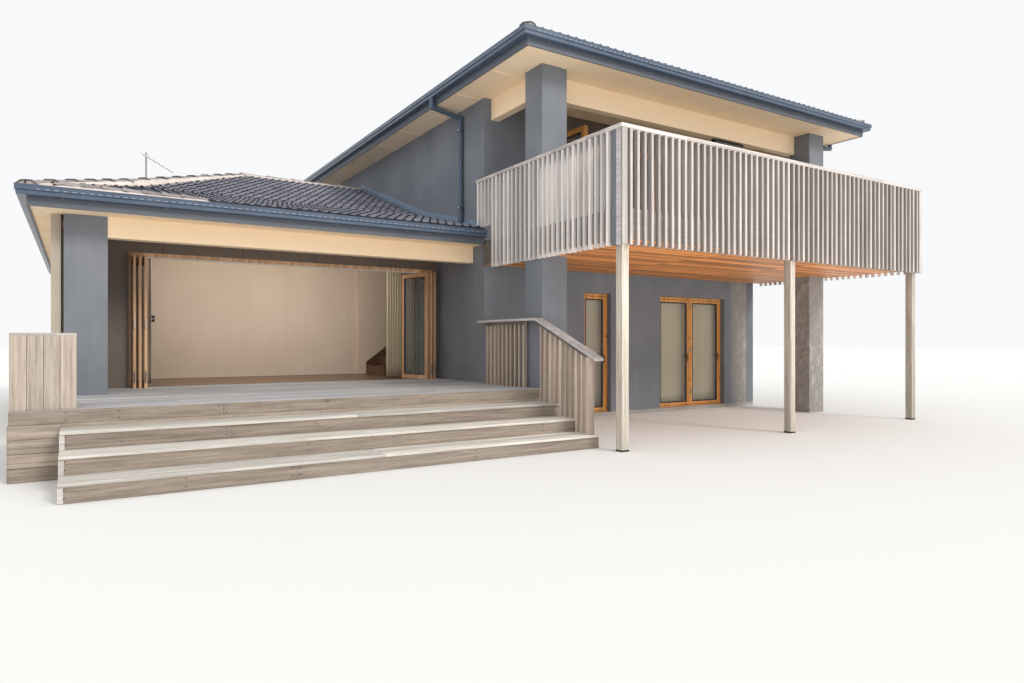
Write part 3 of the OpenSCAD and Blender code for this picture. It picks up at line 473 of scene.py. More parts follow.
# Right end of the ground wall and the right pier: rough render with painted sunlight from about x = 2.7 m,
# below about 2.6 m.
WALL_ROUGH_SUNLIT = Render("trowelled_render_rough_sunlit", paint(130, 133, 139), paint(109, 114, 121), 0.92, rough_sunlit_from=3.0)
PALE_WALL = Render("pale_render", paint(188, 176, 160), paint(166, 154, 140), 0.9)
PLASTER = Render("cream_plaster", paint(236, 219, 200), paint(226, 208, 189), 0.85)
CREAM = Coating("cream_lining", paint(255, 229, 194), paint(250, 222, 186), 0.75)
PANEL = Coating("dark_panel", paint(112, 100, 90), paint(92, 82, 76), 0.6)
CONCRETE = Render("concrete", paint(176, 172, 166), paint(150, 147, 142), 0.9)
STEEL = Coating("slate_steel", paint(70, 84, 103), paint(94, 107, 124), 0.3)
FASCIA = Coating("slate_fascia", paint(88, 93, 102), paint(74, 79, 88), 0.5)
SLOTTED = Coating("gutter_slot", paint(150, 160, 176), paint(124, 134, 150), 0.5)
JOINT = Coating("sheet_joint", paint(40, 38, 38), paint(32, 30, 30), 0.7)
TILES = Tile("concrete_tile", paint(92, 94, 109), paint(130, 129, 142), 0.6, dust=paint(160, 156, 162))
CAPS = Tile("concrete_cap", paint(126, 120, 120), paint(158, 150, 148), 0.7, dust=paint(186, 176, 172),
            edge=-0.2)
UNDERLAY = Coating("roof_underlay", paint(40, 41, 47), paint(32, 33, 39), 0.9)
MORTAR = Render("cap_mortar", paint(236, 222, 212), paint(208, 194, 184), 0.95)
# Front battens: their sides along x darkened as painted shade.
BATTEN = Timber("batten_timber", paint(160, 151, 146), paint(202, 193, 187), 0.85, run=Run.Z,
                board=(BATTEN_STEP, BATTEN_STEP, 0), shift=(-3.4555, -3.7435, 0), sides=Run.X, painted_side_shading=0.72)
# Side battens: a lighter copy of the batten timber as painted sunlight, their sides along y darkened as
# painted shade.
BATTEN_PAINTED_SUNLIT = Timber("side_batten_timber_painted_sunlit", paint(204, 196, 192), paint(238, 231, 226), 0.85, run=Run.Z,
                     board=(BATTEN_STEP, BATTEN_STEP, 0), shift=(-3.4555, -3.7435, 0), sides=Run.Y,
                     painted_side_shading=0.85)
# Dark bluish board at the balcony's front left corner: painted shade, standing for the shaded post seen
# through the gap there.
CORNER_PAINTED_SHADE = Timber("corner_timber_painted_shade", paint(96, 98, 104), paint(122, 124, 130), 0.85, run=Run.Z)
# Deck and stair battens: their sides along y darkened as painted shade.
SCREEN = Timber("screen_timber", paint(170, 151, 136), paint(216, 198, 181), 0.88, run=Run.Z,
                board=(BATTEN_STEP, BATTEN_STEP, 0), shift=(0, -1.5455, 0), sides=Run.Y, painted_side_shading=0.6)
# Handrail timber: its sides along x lightened as painted light.
HANDRAIL = Timber("handrail_timber", paint(146, 141, 141), paint(188, 182, 180), 0.85, run=Run.Y,
                  sides=Run.X, painted_side_shading=1.25)
RAIL = Timber("rail_timber", paint(172, 163, 159), paint(212, 204, 199), 0.8, run=Run.X,
              board=(2.4, 0.2, 0.2))
POST = Timber("post_timber", paint(154, 144, 131), paint(211, 201, 188), 0.85, run=Run.Z, board=(1.5, 0, 0),
              knots=0.3)
CEDAR = Timber("cedar_lining", paint(184, 107, 47), paint(228, 158, 88), 0.45, run=Run.X, by_piece=True,
               vary=0.42)
BEARER = Timber("bearer_timber", paint(94, 86, 80), paint(126, 117, 109), 0.85, run=Run.X,
                board=(0, 0.3, 0.3))
DOOR = Timber("door_timber", paint(200, 130, 58), paint(232, 170, 96), 0.42, run=Run.Z, board=(0.05, 0.05, 0))
FOLDING = Timber("folding_timber", paint(200, 152, 112), paint(230, 190, 152), 0.5, run=Run.Z,
                 board=(0.05, 0.05, 0))
GASKET = Coating("glazing_gasket", paint(46, 42, 38), paint(36, 33, 30), 0.6)
DECK = Timber("deck_timber", paint(150, 150, 152), paint(196, 196, 198), 0.85, run=Run.X, by_piece=True,
              knots=0.3)
TREAD = Timber("tread_timber", paint(172, 164, 156), paint(228, 222, 213), 0.85, run=Run.X, by_piece=True,
               knots=0.35)
SKIRT = Timber("skirt_timber", paint(128, 115, 103), paint(184, 169, 154), 0.88, run=Run.X,
               board=(0, 0.44, 0.143), knots=0.5)
BOX_WOOD = Timber("planter_timber", paint(160, 145, 132), paint(210, 195, 180), 0.88, run=Run.Z,
                  by_piece=True, knots=0.4)
FLOOR = Timber("floor_timber", paint(96, 72, 52), paint(132, 102, 76), 0.35, run=Run.X, board=(0, 0.13, 0))
STAIR = Timber("stair_timber", paint(82, 58, 42), paint(116, 86, 62), 0.4, run=Run.Y, board=(0.24, 0, 0.187))
WINDOW = Coating("window_coating", paint(52, 54, 58), paint(66, 68, 72), 0.45)
GLASS = Pane("clear_glass", paint(120, 132, 138), paint(150, 158, 160), 0.04, alpha=0.18)
WINDOW_GLASS = Pane("window_glass", paint(46, 52, 58), paint(60, 66, 72), 0.04, alpha=0.8)
BRASS = Metal("hinge_metal", paint(150, 140, 120), paint(176, 166, 146), 0.4)
DARK_METAL = Metal("dark_hardware", paint(48, 46, 44), paint(70, 66, 62), 0.45)
WHITE_METAL = Coating("white_hardware", paint(226, 226, 222), paint(205, 205, 200), 0.35)
ZINC = Metal("dull_zinc", paint(170, 172, 174), paint(140, 144, 148), 0.5)
FLASHING = Coating("painted_flashing", paint(118, 136, 156), paint(98, 114, 134), 0.5)
REFLECTOR = Metal("heater_reflector", paint(190, 188, 184), paint(160, 158, 154), 0.3)
CURTAIN = Weave("curtain_cloth", paint(208, 194, 166), paint(178, 163, 136), 0.95)
CURTAIN_GREY = Weave("curtain_grey", paint(168, 152, 134), paint(136, 122, 107), 0.95)
SHEER = Weave("curtain_sheer", paint(250, 240, 212), paint(234, 221, 190), 0.95)


class Shape:
    """Closed forms gathered into the mesh of one piece."""

    def __init__(self) -> None:
        """Starts empty."""
        self.mesh = bmesh.new()
        self.groups: list[Finish] = []
        self.place = Matrix.Identity(4)

    def use(self, finish: Finish) -> int:
        """Keeps a finish for this piece; the first one asked for is the main one.

        Args:
            finish: The finish.

        Returns:
            Its number in the piece.
        """
        if finish not in self.groups:
            self.groups.append(finish)
        return self.groups.index(finish)

    def block(self, low: Point, high: Point, finish: Finish, edge: float = 0.0) -> None:
        """Adds a box.

        Args:
            low: Lowest corner.
            high: Highest corner.
            finish: Its finish.
            edge: Width of its eased edges, or 0 for sharp ones.
        """
        low, high = Vector(low), Vector(high)
        made = bmesh.ops.create_cube(self.mesh, size=1.0)["verts"]
        for vert in made:
            vert.co = Vector(((low + high) / 2)[i] + vert.co[i] * (high - low)[i] for i in range(3))
        faces = {face for vert in made for face in vert.link_faces}
        if edge:
            edges = {line for vert in made for line in vert.link_edges}
            cut = bmesh.ops.bevel(self.mesh, geom=list(edges), offset=edge, segments=1, affect="EDGES")
            made = list({vert for face in cut["faces"] for vert in face.verts})
            faces = {face for vert in made for face in vert.link_faces}
        self.settle(faces, finish)

    def settle(self, faces: Iterable[bmesh.types.BMFace], finish: Finish) -> None:
        """Gives faces their finish and moves their corners by the present place.

        Args:
            faces: Faces that were just made.
            finish: Their finish.
        """
        number = self.use(finish)
        faces = [face for face in faces if face.is_valid]
        for face in faces:
            face.material_index = number
        for vert in {vert for face in faces for vert in face.verts}:
            vert.co = self.place @ vert.co

    def loft(self, rings: Sequence[Sequence[Point]], finish: Finish, closed: bool = False) -> None:
        """Joins rings of points into a closed form.

        Args:
            rings: The rings, each with as many points.
            finish: The finish.
            closed: True where the last ring joins the first one; otherwise both ends are closed.
        """
        rows = [[self.mesh.verts.new(point) for point in ring] for ring in rings]
        count, faces = len(rows[0]), []
        pairs = list(zip(rows, rows[1:])) + ([(rows[-1], rows[0])] if closed else [])
        for near, far in pairs:
            for i in range(count):
                j = (i + 1) % count
                faces.append(self.mesh.faces.new((near[i], near[j], far[j], far[i])))
        if not closed:
            faces.append(self.mesh.faces.new(rows[0][::-1]))
            faces.append(self.mesh.faces.new(rows[-1]))
        bmesh.ops.recalc_face_normals(self.mesh, faces=faces)
        self.settle(faces, finish)

    def prism(self, outline: Sequence[tuple[float, float]], run: Run, near: float, far: float,
              finish: Finish) -> None:
        """Adds a prism.

        Args:
            outline: Its outline across the run's axis, in the order of the other two axes.
            run: Axis along which it lies.
            near: Where it starts on that axis.
            far: Where it ends there.
            finish: Its finish.
        """
        rings = []
        for at in (near, far):
            ring = []
            for first, second in outline:
                point = [first, second]
                point.insert(run.value, at)
                ring.append(point)
            rings.append(ring)
        self.loft(rings, finish)

    def tube(self, points: Sequence[Point], radius: float, finish: Finish, sides: int = 10) -> None:
        """Adds a round bar.

        Args:
            points: Points of its middle line.
            radius: Its radius.
            finish: Its finish.
            sides: Number of its sides.
        """
        path = [Vector(point) for point in points]
        rings = []
        for i, point in enumerate(path):
            way = (path[min(i + 1, len(path) - 1)] - path[max(i - 1, 0)]).normalized()
            side = way.orthogonal().normalized() if i == 0 else (side - way * side.dot(way)).normalized()
            up = way.cross(side)
            rings.append([point + radius * (math.cos(a) * side + math.sin(a) * up)
                          for a in (math.tau * k / sides for k in range(sides))])
        self.loft(rings, finish)

    def sweep(self, profile: Sequence[tuple[float, float]], path: Sequence[Point], finish: Finish,
              closed: bool = False) -> None:
        """Runs a closed profile along a level path with mitred corners.

        Args:
            profile: Points (outwards, upwards); outwards is to the right of the path's way.
            path: Points of the path at one height, or falling with it.
            finish: The finish.
            closed: True where the path returns to its start.
        """
        points, rings = [Vector(point) for point in path], []
        for i, point in enumerate(points):
            before = points[i - 1] if closed or i else None
            after = points[(i + 1) % len(points)] if closed or i + 1 < len(points) else None
            ways = [(point - before).normalized()] if before is not None else []
            ways += [(after - point).normalized()] if after is not None else []
            sides = [Vector((way.y, -way.x, 0)).normalized() for way in ways]
            out = sum(sides, Vector())
            out /= out.length_squared / len(sides)
            rings.append([point + out * across + Vector((0, 0, rise)) for across, rise in profile])
        self.loft(rings, finish, closed)

    def trim(self, outline: Sequence[tuple[float, float]], skip: Iterable[int] = ()) -> None:
        """Cuts away what lies outside a convex outline in plan and closes the cuts.

        Args:
            outline: Corners in plan, in order.
            skip: Numbers of sides that aren't cut.
        """
        middle = sum((Vector(corner) for corner in outline), Vector((0, 0))) / len(outline)
        for i, corner in enumerate(outline):
            if i in skip:
                continue
            a, b = Vector(corner), Vector(outline[(i + 1) % len(outline)])
            out = Vector((b.y - a.y, a.x - b.x))
            if out.dot(middle - a) > 0:
                out = -out
            geometry = self.mesh.verts[:] + self.mesh.edges[:] + self.mesh.faces[:]
            cut = bmesh.ops.bisect_plane(self.mesh, geom=geometry, plane_co=(a.x, a.y, 0),
                                         plane_no=(out.x, out.y, 0), clear_outer=True)
            edges = [item for item in cut["geom_cut"] if isinstance(item, bmesh.types.BMEdge)]
            bmesh.ops.edgeloop_fill(self.mesh, edges=edges)
        bmesh.ops.recalc_face_normals(self.mesh, faces=self.mesh.faces[:])

    def take(self, made: bpy.types.Object, finish: Finish) -> None:
        """Takes over the mesh of an object that isn't kept.

        Args:
            made: The object.
            finish: Finish of all its faces.
        """
        start = len(self.mesh.faces)
        self.mesh.from_mesh(made.data)
        self.mesh.faces.ensure_lookup_table()
        number = self.use(finish)
        for face in self.mesh.faces[start:]:
            face.material_index = number
        bpy.data.objects.remove(made)

    def piece(self, name: str, slot: Slot, body: str = "house", stands_for: Sequence[str] = (),
              smooth: float = 0.0) -> bpy.types.Object:
        """Makes the object of this piece and lets it ride on its body.

        Args:
            name: Name of the piece.
            slot: The record's slot for its main finish; it is not used.
            body: Body that it rides on.
            stands_for: Frame nodes that it replaces.
            smooth: Angle in degrees below which its edges are shaded smooth, or 0.

        Returns:
            The finished object.
        """
        data = bpy.data.meshes.new(name)
        self.mesh.to_mesh(data)
        self.mesh.free()
        for finish in self.groups:
            data.materials.append(finish.surface())
        if smooth:
            data.shade_smooth()
            data.set_sharp_from_angle(angle=math.radians(smooth))
        made = bpy.data.objects.new(name, data)
        bpy.context.scene.collection.objects.link(made)
        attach(made, body)
        if stands_for:
            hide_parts(*stands_for)
        log.info("%s: %d faces", name, len(data.polygons))
        return made


class Repeater:
    """Geometry Nodes tree that sets a small shape out in rows and gives each copy a tone."""

    def __init__(self, name: str) -> None:
        """Builds the tree.

        Args:
            name: Name of the tree, such as tile_courses.
        """
        self.tree = bpy.data.node_groups.new(name, "GeometryNodeTree")
        self.sockets: dict[str, str] = {}
        self.ask("Geometry", "NodeSocketGeometry")
        for title, kind in (("Start", "Vector"), ("Across", "Vector"), ("Along", "Vector"),
                            ("Stagger", "Vector"), ("Across Count", "Int"), ("Along Count", "Int"),
                            ("Turn", "Vector"), ("Wander", "Vector"), ("Tilt", "Vector"), ("Seed", "Int"),
                            ("Finish", "Material")):
            self.ask(title, "NodeSocket" + kind)
        self.tree.interface.new_socket("Geometry", in_out="OUTPUT", socket_type="NodeSocketGeometry")
        self.wire()

    def ask(self, title: str, kind: str) -> None:
        """Adds an input to the tree and keeps its identifier."""
        made = self.tree.interface.new_socket(title, in_out="INPUT", socket_type=kind)
        self.sockets[title] = made.identifier

    def wire(self) -> None:
        """Wires rows of points, the copies on them, their wander and tilt, and their tone."""
        w = Wiring(self.tree)
        given = w.node("NodeGroupInput").outputs
        lines = []
        for title in ("Across", "Along"):
            feeds = {"Count": given[title + " Count"], "Offset": given[title]}
            lines.append(w.node("GeometryNodeMeshLine", feeds, mode="OFFSET"))
        row = w.node("GeometryNodeInstanceOnPoints", {"Points": lines[1], "Instance": lines[0]})
        number = w.node("GeometryNodeInputIndex")
        odd = w.node("ShaderNodeMath", {0: number, 1: 2.0}, operation="MODULO")
        shift = w.node("ShaderNodeVectorMath", {0: given["Stagger"], "Scale": odd}, operation="SCALE")
        row = w.node("GeometryNodeTranslateInstances", {"Instances": row, "Translation": shift,
                                                        "Local Space": False})
        points = w.node("GeometryNodeRealizeInstances", {0: row})
        seed = given["Seed"]
        stray = self.dice(w, seed, given["Wander"])
        where = w.node("ShaderNodeVectorMath", {0: given["Start"], 1: stray}, operation="ADD")
        points = w.node("GeometryNodeSetPosition", {"Geometry": points, "Offset": where})
        lean = self.dice(w, w.sum("ADD", seed, 7.0), given["Tilt"])
        copies = w.node("GeometryNodeInstanceOnPoints", {"Points": points, "Instance": given["Geometry"],
                                                         "Rotation": given["Turn"]})
        copies = w.node("GeometryNodeRotateInstances", {"Instances": copies, "Rotation": lean,
                                                        "Local Space": True})
        tone = w.node("FunctionNodeRandomValue", {2: 0.0, 3: 1.0, "Seed": seed}, data_type="FLOAT")
        copies = w.node("GeometryNodeStoreNamedAttribute", {"Geometry": copies, "Name": "tone",
                                                            "Value": tone.outputs[1]},
                        data_type="FLOAT", domain="INSTANCE")
        solid = w.node("GeometryNodeRealizeInstances", {0: copies})
        dressed = w.node("GeometryNodeSetMaterial", {"Geometry": solid, "Material": given["Finish"]})
        w.node("NodeGroupOutput", {0: dressed})

    @staticmethod
    def dice(w: Wiring, seed: Feed, reach: Feed) -> bpy.types.NodeSocket:
        """Random vector between minus and plus a reach."""
        least = w.node("ShaderNodeVectorMath", {0: reach, "Scale": -1.0}, operation="SCALE")
        return w.node("FunctionNodeRandomValue", {0: least, 1: reach, "Seed": seed},
                      data_type="FLOAT_VECTOR").outputs[0]

    def lay(self, unit: Shape, finish: Finish, start: Point, across: Point = (0, 0, 0), wide: int = 1,
            along: Point = (0, 0, 0), long: int = 1, turn: Point = (0, 0, 0), stagger: Point = (0, 0, 0),
            wander: Point = (0, 0, 0), tilt: Point = (0, 0, 0), seed: int = 1) -> bpy.types.Object:
        """Sets a shape out in rows.

        Args:
            unit: The shape, around the origin.
            finish: Finish of every copy.
            start: Place of the first copy.
            across: Step from one copy to the next in a row.
            wide: Copies in a row.
            along: Step from one row to the next.
            long: Number of rows.
            turn: Turn of every copy, in radians.
            stagger: Shift of every second row.
            wander: Furthest random shift of a copy.
            tilt: Furthest random turn of a copy, in radians.
            seed: Seed of what is random.

        Returns:
            An object that holds the plain mesh of all copies.
        """
        data = bpy.data.meshes.new("unit")
        unit.mesh.to_mesh(data)
        unit.mesh.free()
        source = bpy.data.objects.new("unit", data)
        bpy.context.scene.collection.objects.link(source)
        rows = source.modifiers.new("rows", "NODES")
        rows.node_group = self.tree
        for title, value in {"Start": start, "Across": across, "Along": along, "Stagger": stagger,
                             "Across Count": wide, "Along Count": long, "Turn": turn, "Wander": wander,
                             "Tilt": tilt, "Seed": seed, "Finish": finish.surface()}.items():
            rows[self.sockets[title]] = tuple(value) if isinstance(value, (tuple, Vector)) else value
        graph = bpy.context.evaluated_depsgraph_get()
        plain = bpy.data.meshes.new_from_object(source.evaluated_get(graph))
        source.modifiers.clear()
        bpy.data.objects.remove(source)
        return bpy.data.objects.new("rows", plain)


TILE_COURSES = Repeater("tile_courses")
CAP_RUNS = Repeater("cap_runs")
BOARD_ROWS = Repeater("board_rows")
FIXINGS = Repeater("fixing_rows")


def boxed(low: Point, high: Point, edge: float = 0.0) -> Shape:
    """Makes a unit for a repeater.

    Args:
        low: Lowest corner.
        high: Highest corner.
        edge: Width of its eased edges, or 0 for sharp ones.

    Returns:
        A shape with one box in it; the repeater gives it its finish.
    """
    made = Shape()
    made.block(low, high, TILES, edge)
    return made


@dataclass(frozen=True)
class Slope:
    """One plane of a roof: its outline in plan, eave side first, and the convex parts that it is tiled in."""

    outline: tuple[tuple[float, float], ...]
    eave_z: float
    rise: float
    clips: tuple[tuple[tuple[float, float], ...], ...] = ()

    def covers(self, at: Vector) -> bool:
        """Tells whether a point lies inside the outline in plan.

        Args:
            at: The point.

        Returns:
            True where an upright line through the point meets this plane.
        """
        inside = False
        for (ax, ay), (bx, by) in zip(self.outline, self.outline[1:] + self.outline[:1]):
            if (ay > at.y) != (by > at.y) and at.x < ax + (bx - ax) * (at.y - ay) / (by - ay):
                inside = not inside
        return inside

    def height(self, at: Vector) -> float:
        """Finds the height of the plane over or under a point.

        Args:
            at: The point.

        Returns:
            The height.
        """
        start, way, *_ = self.axes()
        into = Vector((-way.y, way.x, 0))
        return self.eave_z + self.rise * into.dot(Vector((at.x, at.y, self.eave_z)) - start)

    def axes(self) -> tuple[Vector, Vector, Vector, Vector, float, float]:
        """Works out the axes that courses of tiles follow.

        Returns:
            Start of the eave, the ways along it, up the slope and out of it, its width and its length.
        """
        corners = [Vector((*corner, self.eave_z)) for corner in self.outline]
        a, b = corners[:2]
        middle = sum(corners, Vector()) / len(corners)
        way = (b - a).normalized()
        into = Vector((-way.y, way.x, 0))
        if into.dot(middle - a) < 0:
            a, way, into = b, -way, -into
        up = (into + Vector((0, 0, self.rise))).normalized()
        deep = max(into.dot(corner - a) for corner in corners)
        wide = (Vector(self.outline[1]) - Vector(self.outline[0])).length
        return a, way, up, way.cross(up), wide, deep * math.hypot(1, self.rise)


@dataclass
class TiledRoof:
    """Tiles laid in courses on every slope, capping tiles bedded in mortar along the hips and the ridge."""

    name: str
    slopes: tuple[Slope, ...]
    runs: tuple[Line, ...]
    low_runs: tuple[Line, ...] = ()
    cover: float = 0.30
    gauge: float = 0.32
    tile_long: float = 0.40
    side_lap: float = 0.02
    butt: float = 0.038
    head: float = 0.014
    crown: float = 0.056
    cap_long: float = 0.42
    cap_gauge: float = 0.375
    low_long: float = 0.34
    low_gauge: float = 0.27
    bed: float = 0.02
    seed: int = 11
    pan: tuple[tuple[float, float], ...] = (
        (0, 0.006), (0.018, 0.001), (0.088, 0.0), (0.104, 0.008), (0.118, 0.026), (0.138, 0.026),
        (0.152, 0.008), (0.168, 0.0), (0.238, 0.0), (0.254, 0.008), (0.268, 0.026), (0.288, 0.026),
        (0.303, 0.01), (0.316, 0.004))

    def tile(self) -> Shape:
        """Makes one tile, its lower edge raised by the tile that it laps.

        Returns:
            The tile.
        """
        made = Shape()
        under = ((0.316, -0.017), (0, -0.02))
        rings = []
        for at, lift in ((0.0, self.butt), (self.tile_long, self.head)):
            rings.append([(x, at, z + lift) for x, z in self.pan + under])
        made.loft(rings, TILES)
        return made

    def lay_tiles(self) -> None:
        """Lays every slope and trims it at the hips and at the ridge."""
        for number, slope in enumerate(self.slopes):
            start, way, up, out, wide, long = slope.axes()
            turn = Matrix((way, up, out)).transposed().to_euler()
            for part, clip in enumerate(slope.clips or (slope.outline,)):
                rows = TILE_COURSES.lay(
                    self.tile(), TILES, start - way * self.side_lap, way * self.cover,
                    math.ceil(wide / self.cover) + 1, up * self.gauge, math.ceil(long / self.gauge),
                    turn, wander=(0.002, 0.002, 0.0), tilt=(0.004, 0.006, 0.006), seed=self.seed + number)
                made = Shape()
                made.take(rows, TILES)
                made.trim(clip, skip=(0,))
                made.piece(f"{self.name}_tiles_{number + 1}" + "_b" * part, Slot.TILE)

    def cap(self, long: float) -> Shape:
        """Makes one capping tile, wider at the end that laps over its neighbour.

        Args:
            long: Its length.

        Returns:
            The capping tile.
        """
        made = Shape()
        outer = [(-0.118, 0.0), (-0.11, 0.024), (-0.055, 0.058), (0.055, 0.058), (0.11, 0.024), (0.118, 0.0)]
        inner = [(0.102, 0.0), (0.096, 0.014), (0.048, 0.043), (-0.048, 0.043), (-0.096, 0.014),
                 (-0.102, 0.0)]
        rings = []
        for at, grow, lift in ((0.0, 1.0, 0.004), (0.05, 1.0, 0.002), (0.052, 0.95, -0.002),
                               (long, 0.86, -0.012)):
            rings.append([(at, y * grow, z * grow + lift) for y, z in outer + inner])
        made.loft(rings, CAPS)
        return made

    def lay_caps(self) -> None:
        """Lays the caps uphill along every hip and ridge, each over the one below."""
        made = Shape()
        for number, (low, high) in enumerate(self.runs + self.low_runs):
            low, high = Vector(low), Vector(high)
            long, gauge = self.cap_long, self.cap_gauge
            if number >= len(self.runs):
                long, gauge = self.low_long, self.low_gauge
            way = (high - low).normalized()
            side = Vector((0, 0, 1)).cross(way).normalized()
            up = way.cross(side)
            turn = Matrix((way, side, up)).transposed().to_euler()
            reach = (high - low).length - long * 0.9
            count = max(1, math.ceil(reach / gauge)) + 1
            step = reach / (count - 1)
            made.take(CAP_RUNS.lay(self.cap(long), CAPS, low + up * self.bed, way * step, count, turn=turn,
                                   tilt=(0.01, 0.006, 0.012), seed=self.seed + 20 + number), CAPS)
        made.piece(f"{self.name}_caps", Slot.TILE, stands_for=("roof_caps",))

    def level(self, at: Vector) -> float:
        """Finds the height of the tiled planes over or under a point.

        Args:
            at: The point.

        Returns:
            The height; outside every outline, that of the lowest slope that starts at the eaves.
        """
        over = [slope.height(at) for slope in self.slopes if slope.covers(at)]
        eaves = min(slope.eave_z for slope in self.slopes)
        return over[0] if over else min(slope.height(at) for slope in self.slopes if slope.eave_z == eaves)

    def plug(self, made: Shape, low: Vector, way: Vector, side: Vector) -> None:
        """Closes the lower end of a run with mortar inside its first cap.

        Args:
            made: Shape that takes it.
            low: Lower end of the run.
            way: Way along the run.
            side: Way across it.
        """
        arch = ((0.1, -0.03), (0.094, 0.016), (0.046, 0.044), (-0.046, 0.044), (-0.094, 0.016), (-0.1, -0.03))
        up = way.cross(side)
        rings = [[low + way * at + side * y + up * (z + self.bed) for y, z in arch] for at in (0.008, 0.06)]
        made.loft(rings, MORTAR)

    def bed_caps(self) -> None:
        """Points mortar under both edges of the caps, uneven as a trowel leaves it."""
        dice = random.Random(self.seed)
        made = Shape()
        for low, high in self.runs:
            low, high = Vector(low), Vector(high)
            way = (high - low).normalized()
            side = Vector((0, 0, 1)).cross(way).normalized()
            self.plug(made, low, way, side)
            count = int((high - low).length / 0.075)
            rings = []
            for i in range(count + 1):
                at = low + (high - low) * (0.01 + 0.985 * i / count)
                ring = []
                for hand in (-1, 1):
                    out = min(0.1 + 0.045 * i, 0.19) + dice.uniform(-0.012, 0.015) * (i > 1)
                    edge = at + side * hand * out
                    crest = at + side * hand * 0.106
                    crest.z += self.bed + 0.018 + dice.uniform(-0.004, 0.004)
                    edge.z = min(crest.z, self.level(edge) + self.crown + dice.uniform(-0.004, 0.004))
                    foot = edge - side * hand * 0.01
                    foot.z = edge.z - 0.08
                    ring.append([foot, edge, crest])
                rings.append(ring[0] + ring[1][::-1])
            made.loft(rings, MORTAR)
        for low, high in self.low_runs:
            self.bed_low_run(made, Vector(low), Vector(high), dice)
        made.piece(f"{self.name}_mortar", Slot.TILE, smooth=40)

    def bed_low_run(self, made: Shape, low: Vector, high: Vector, dice: random.Random) -> None:
        """Beds a level run of caps that lies near the eave, in mortar that thins out past both its ends.

        Args:
            made: Shape that takes it.
            low: Left end of the run.
            high: Right end of the run.
            dice: Source of its unevenness.
        """
        self.plug(made, low, Vector((1, 0, 0)), Vector((0, 1, 0)))
        profile = ((-0.18, -0.125), (-0.18, -0.085), (-0.165, -0.06), (-0.108, 0.0), (0.106, 0.0),
                   (0.2, -0.03), (0.2, -0.125))
        steps, before, behind = 44, 0.22, 0.3
        rings = []
        for i in range(steps + 1):
            at = low.lerp(high, i / steps)
            at.x = low.x - before + (high.x - low.x + before + behind) * i / steps
            thin = min(1.0, max(0.1, (at.x - high.x) / behind + 0.1, 1 - i / 6))
            ring = []
            for y, z in profile:
                z += self.bed + dice.uniform(-0.004, 0.004)
                ring.append(at + Vector((0, y + dice.uniform(-0.005, 0.005), z - max(0.0, z + 0.005) * thin)))
            rings.append(ring)
        made.loft(rings, MORTAR)

    def build(self) -> None:
        """Makes tiles, caps and mortar."""
        self.lay_tiles()
        self.lay_caps()
        self.bed_caps()


@dataclass
class Gutters:
    """Stepped steel gutters with a beaded lip, overflow slots, strap ends and, on the wing, fascia boards."""

    name: str
    path: tuple[tuple[float, float], ...]
    closed: bool
    top: float
    stands_for: tuple[str, ...]
    fascia: tuple[float, float] | None = None
    high: float = 0.125
    plate: float = 0.003
    slot: tuple[float, float, float] = (0.046, 0.003, 0.008)
    slot_step: float = 0.092
    slot_level: float = 0.068
    strap_step: float = 1.15
    section: tuple[tuple[float, float], ...] = (
        (0.0, 0.118), (0.0, 0.004), (0.004, 0.0), (0.096, 0.0), (0.101, 0.005), (0.101, 0.05), (0.115, 0.057),
        (0.1175, 0.061), (0.1175, 0.108), (0.12, 0.112), (0.12, 0.12), (0.116, 0.125), (0.105, 0.125),
        (0.105, 0.12), (0.113, 0.12), (0.1145, 0.112), (0.1145, 0.064), (0.098, 0.055), (0.097, 0.006),
        (0.006, 0.004), (0.003, 0.008), (0.003, 0.118))

    def sides(self) -> list[tuple[Vector, Vector]]:
        """Lists the straight lengths.

        Returns:
            Both ends of each.
        """
        points = [Vector((*point, 0)) for point in self.path]
        ends = list(zip(points, points[1:]))
        return ends + ([(points[-1], points[0])] if self.closed else [])

    def build(self) -> None:
        """Makes the gutter with its fascia, the slots and the strap ends."""
        base = self.top - self.high
        made = Shape()
        made.sweep(self.section, [(x, y, base) for x, y in self.path], STEEL, self.closed)
        if not self.closed:
            face = ((0.0, 0.0), (0.101, 0.0), (0.101, 0.05), (0.12, 0.06), (0.12, 0.125), (0.0, 0.118))
            for (near, far), end in ((self.sides()[0], 0), (self.sides()[-1], 1)):
                way = (far - near).normalized()
                at = (near if end == 0 else far - way * self.plate) + Vector((0, 0, base))
                made.sweep(face, [at, at + way * self.plate], STEEL)
        made.piece(f"{self.name}_gutter", Slot.GUTTER, stands_for=self.stands_for)
        if self.fascia:
            low, high = self.fascia
            made = Shape()
            made.sweep(((0, 0), (-0.025, 0), (-0.025, high - low), (0, high - low)),
                       [(x, y, low) for x, y in self.path], FASCIA, self.closed)
            made.piece(f"{self.name}_fascia_boards", Slot.FASCIA)
        slots, straps = Shape(), Shape()
        for near, far in self.sides():
            way = (far - near).normalized()
            out = Vector((way.y, -way.x, 0))
            turn = (0, 0, math.atan2(way.y, way.x))
            count = int(((far - near).length - 0.2) / self.slot_step)
            start = near + way * 0.1 + out * 0.1195 + Vector((0, 0, base + self.slot_level))
            slots.take(FIXINGS.lay(boxed((0, 0, 0), self.slot), SLOTTED, start, way * self.slot_step, count,
                                   turn=turn), SLOTTED)
            count = max(1, int((far - near).length / self.strap_step))
            start = near + way * 0.35 + Vector((0, 0, base - 0.012)) + out * 0.006
            strap = boxed((0, -0.004, 0), (0.032, 0.004, 0.012), 0.002)
            straps.take(FIXINGS.lay(strap, ZINC, start, way * self.strap_step, count, turn=turn), ZINC)
        slots.piece(f"{self.name}_gutter_slots", Slot.GUTTER)
        straps.piece(f"{self.name}_gutter_straps", Slot.GUTTER)


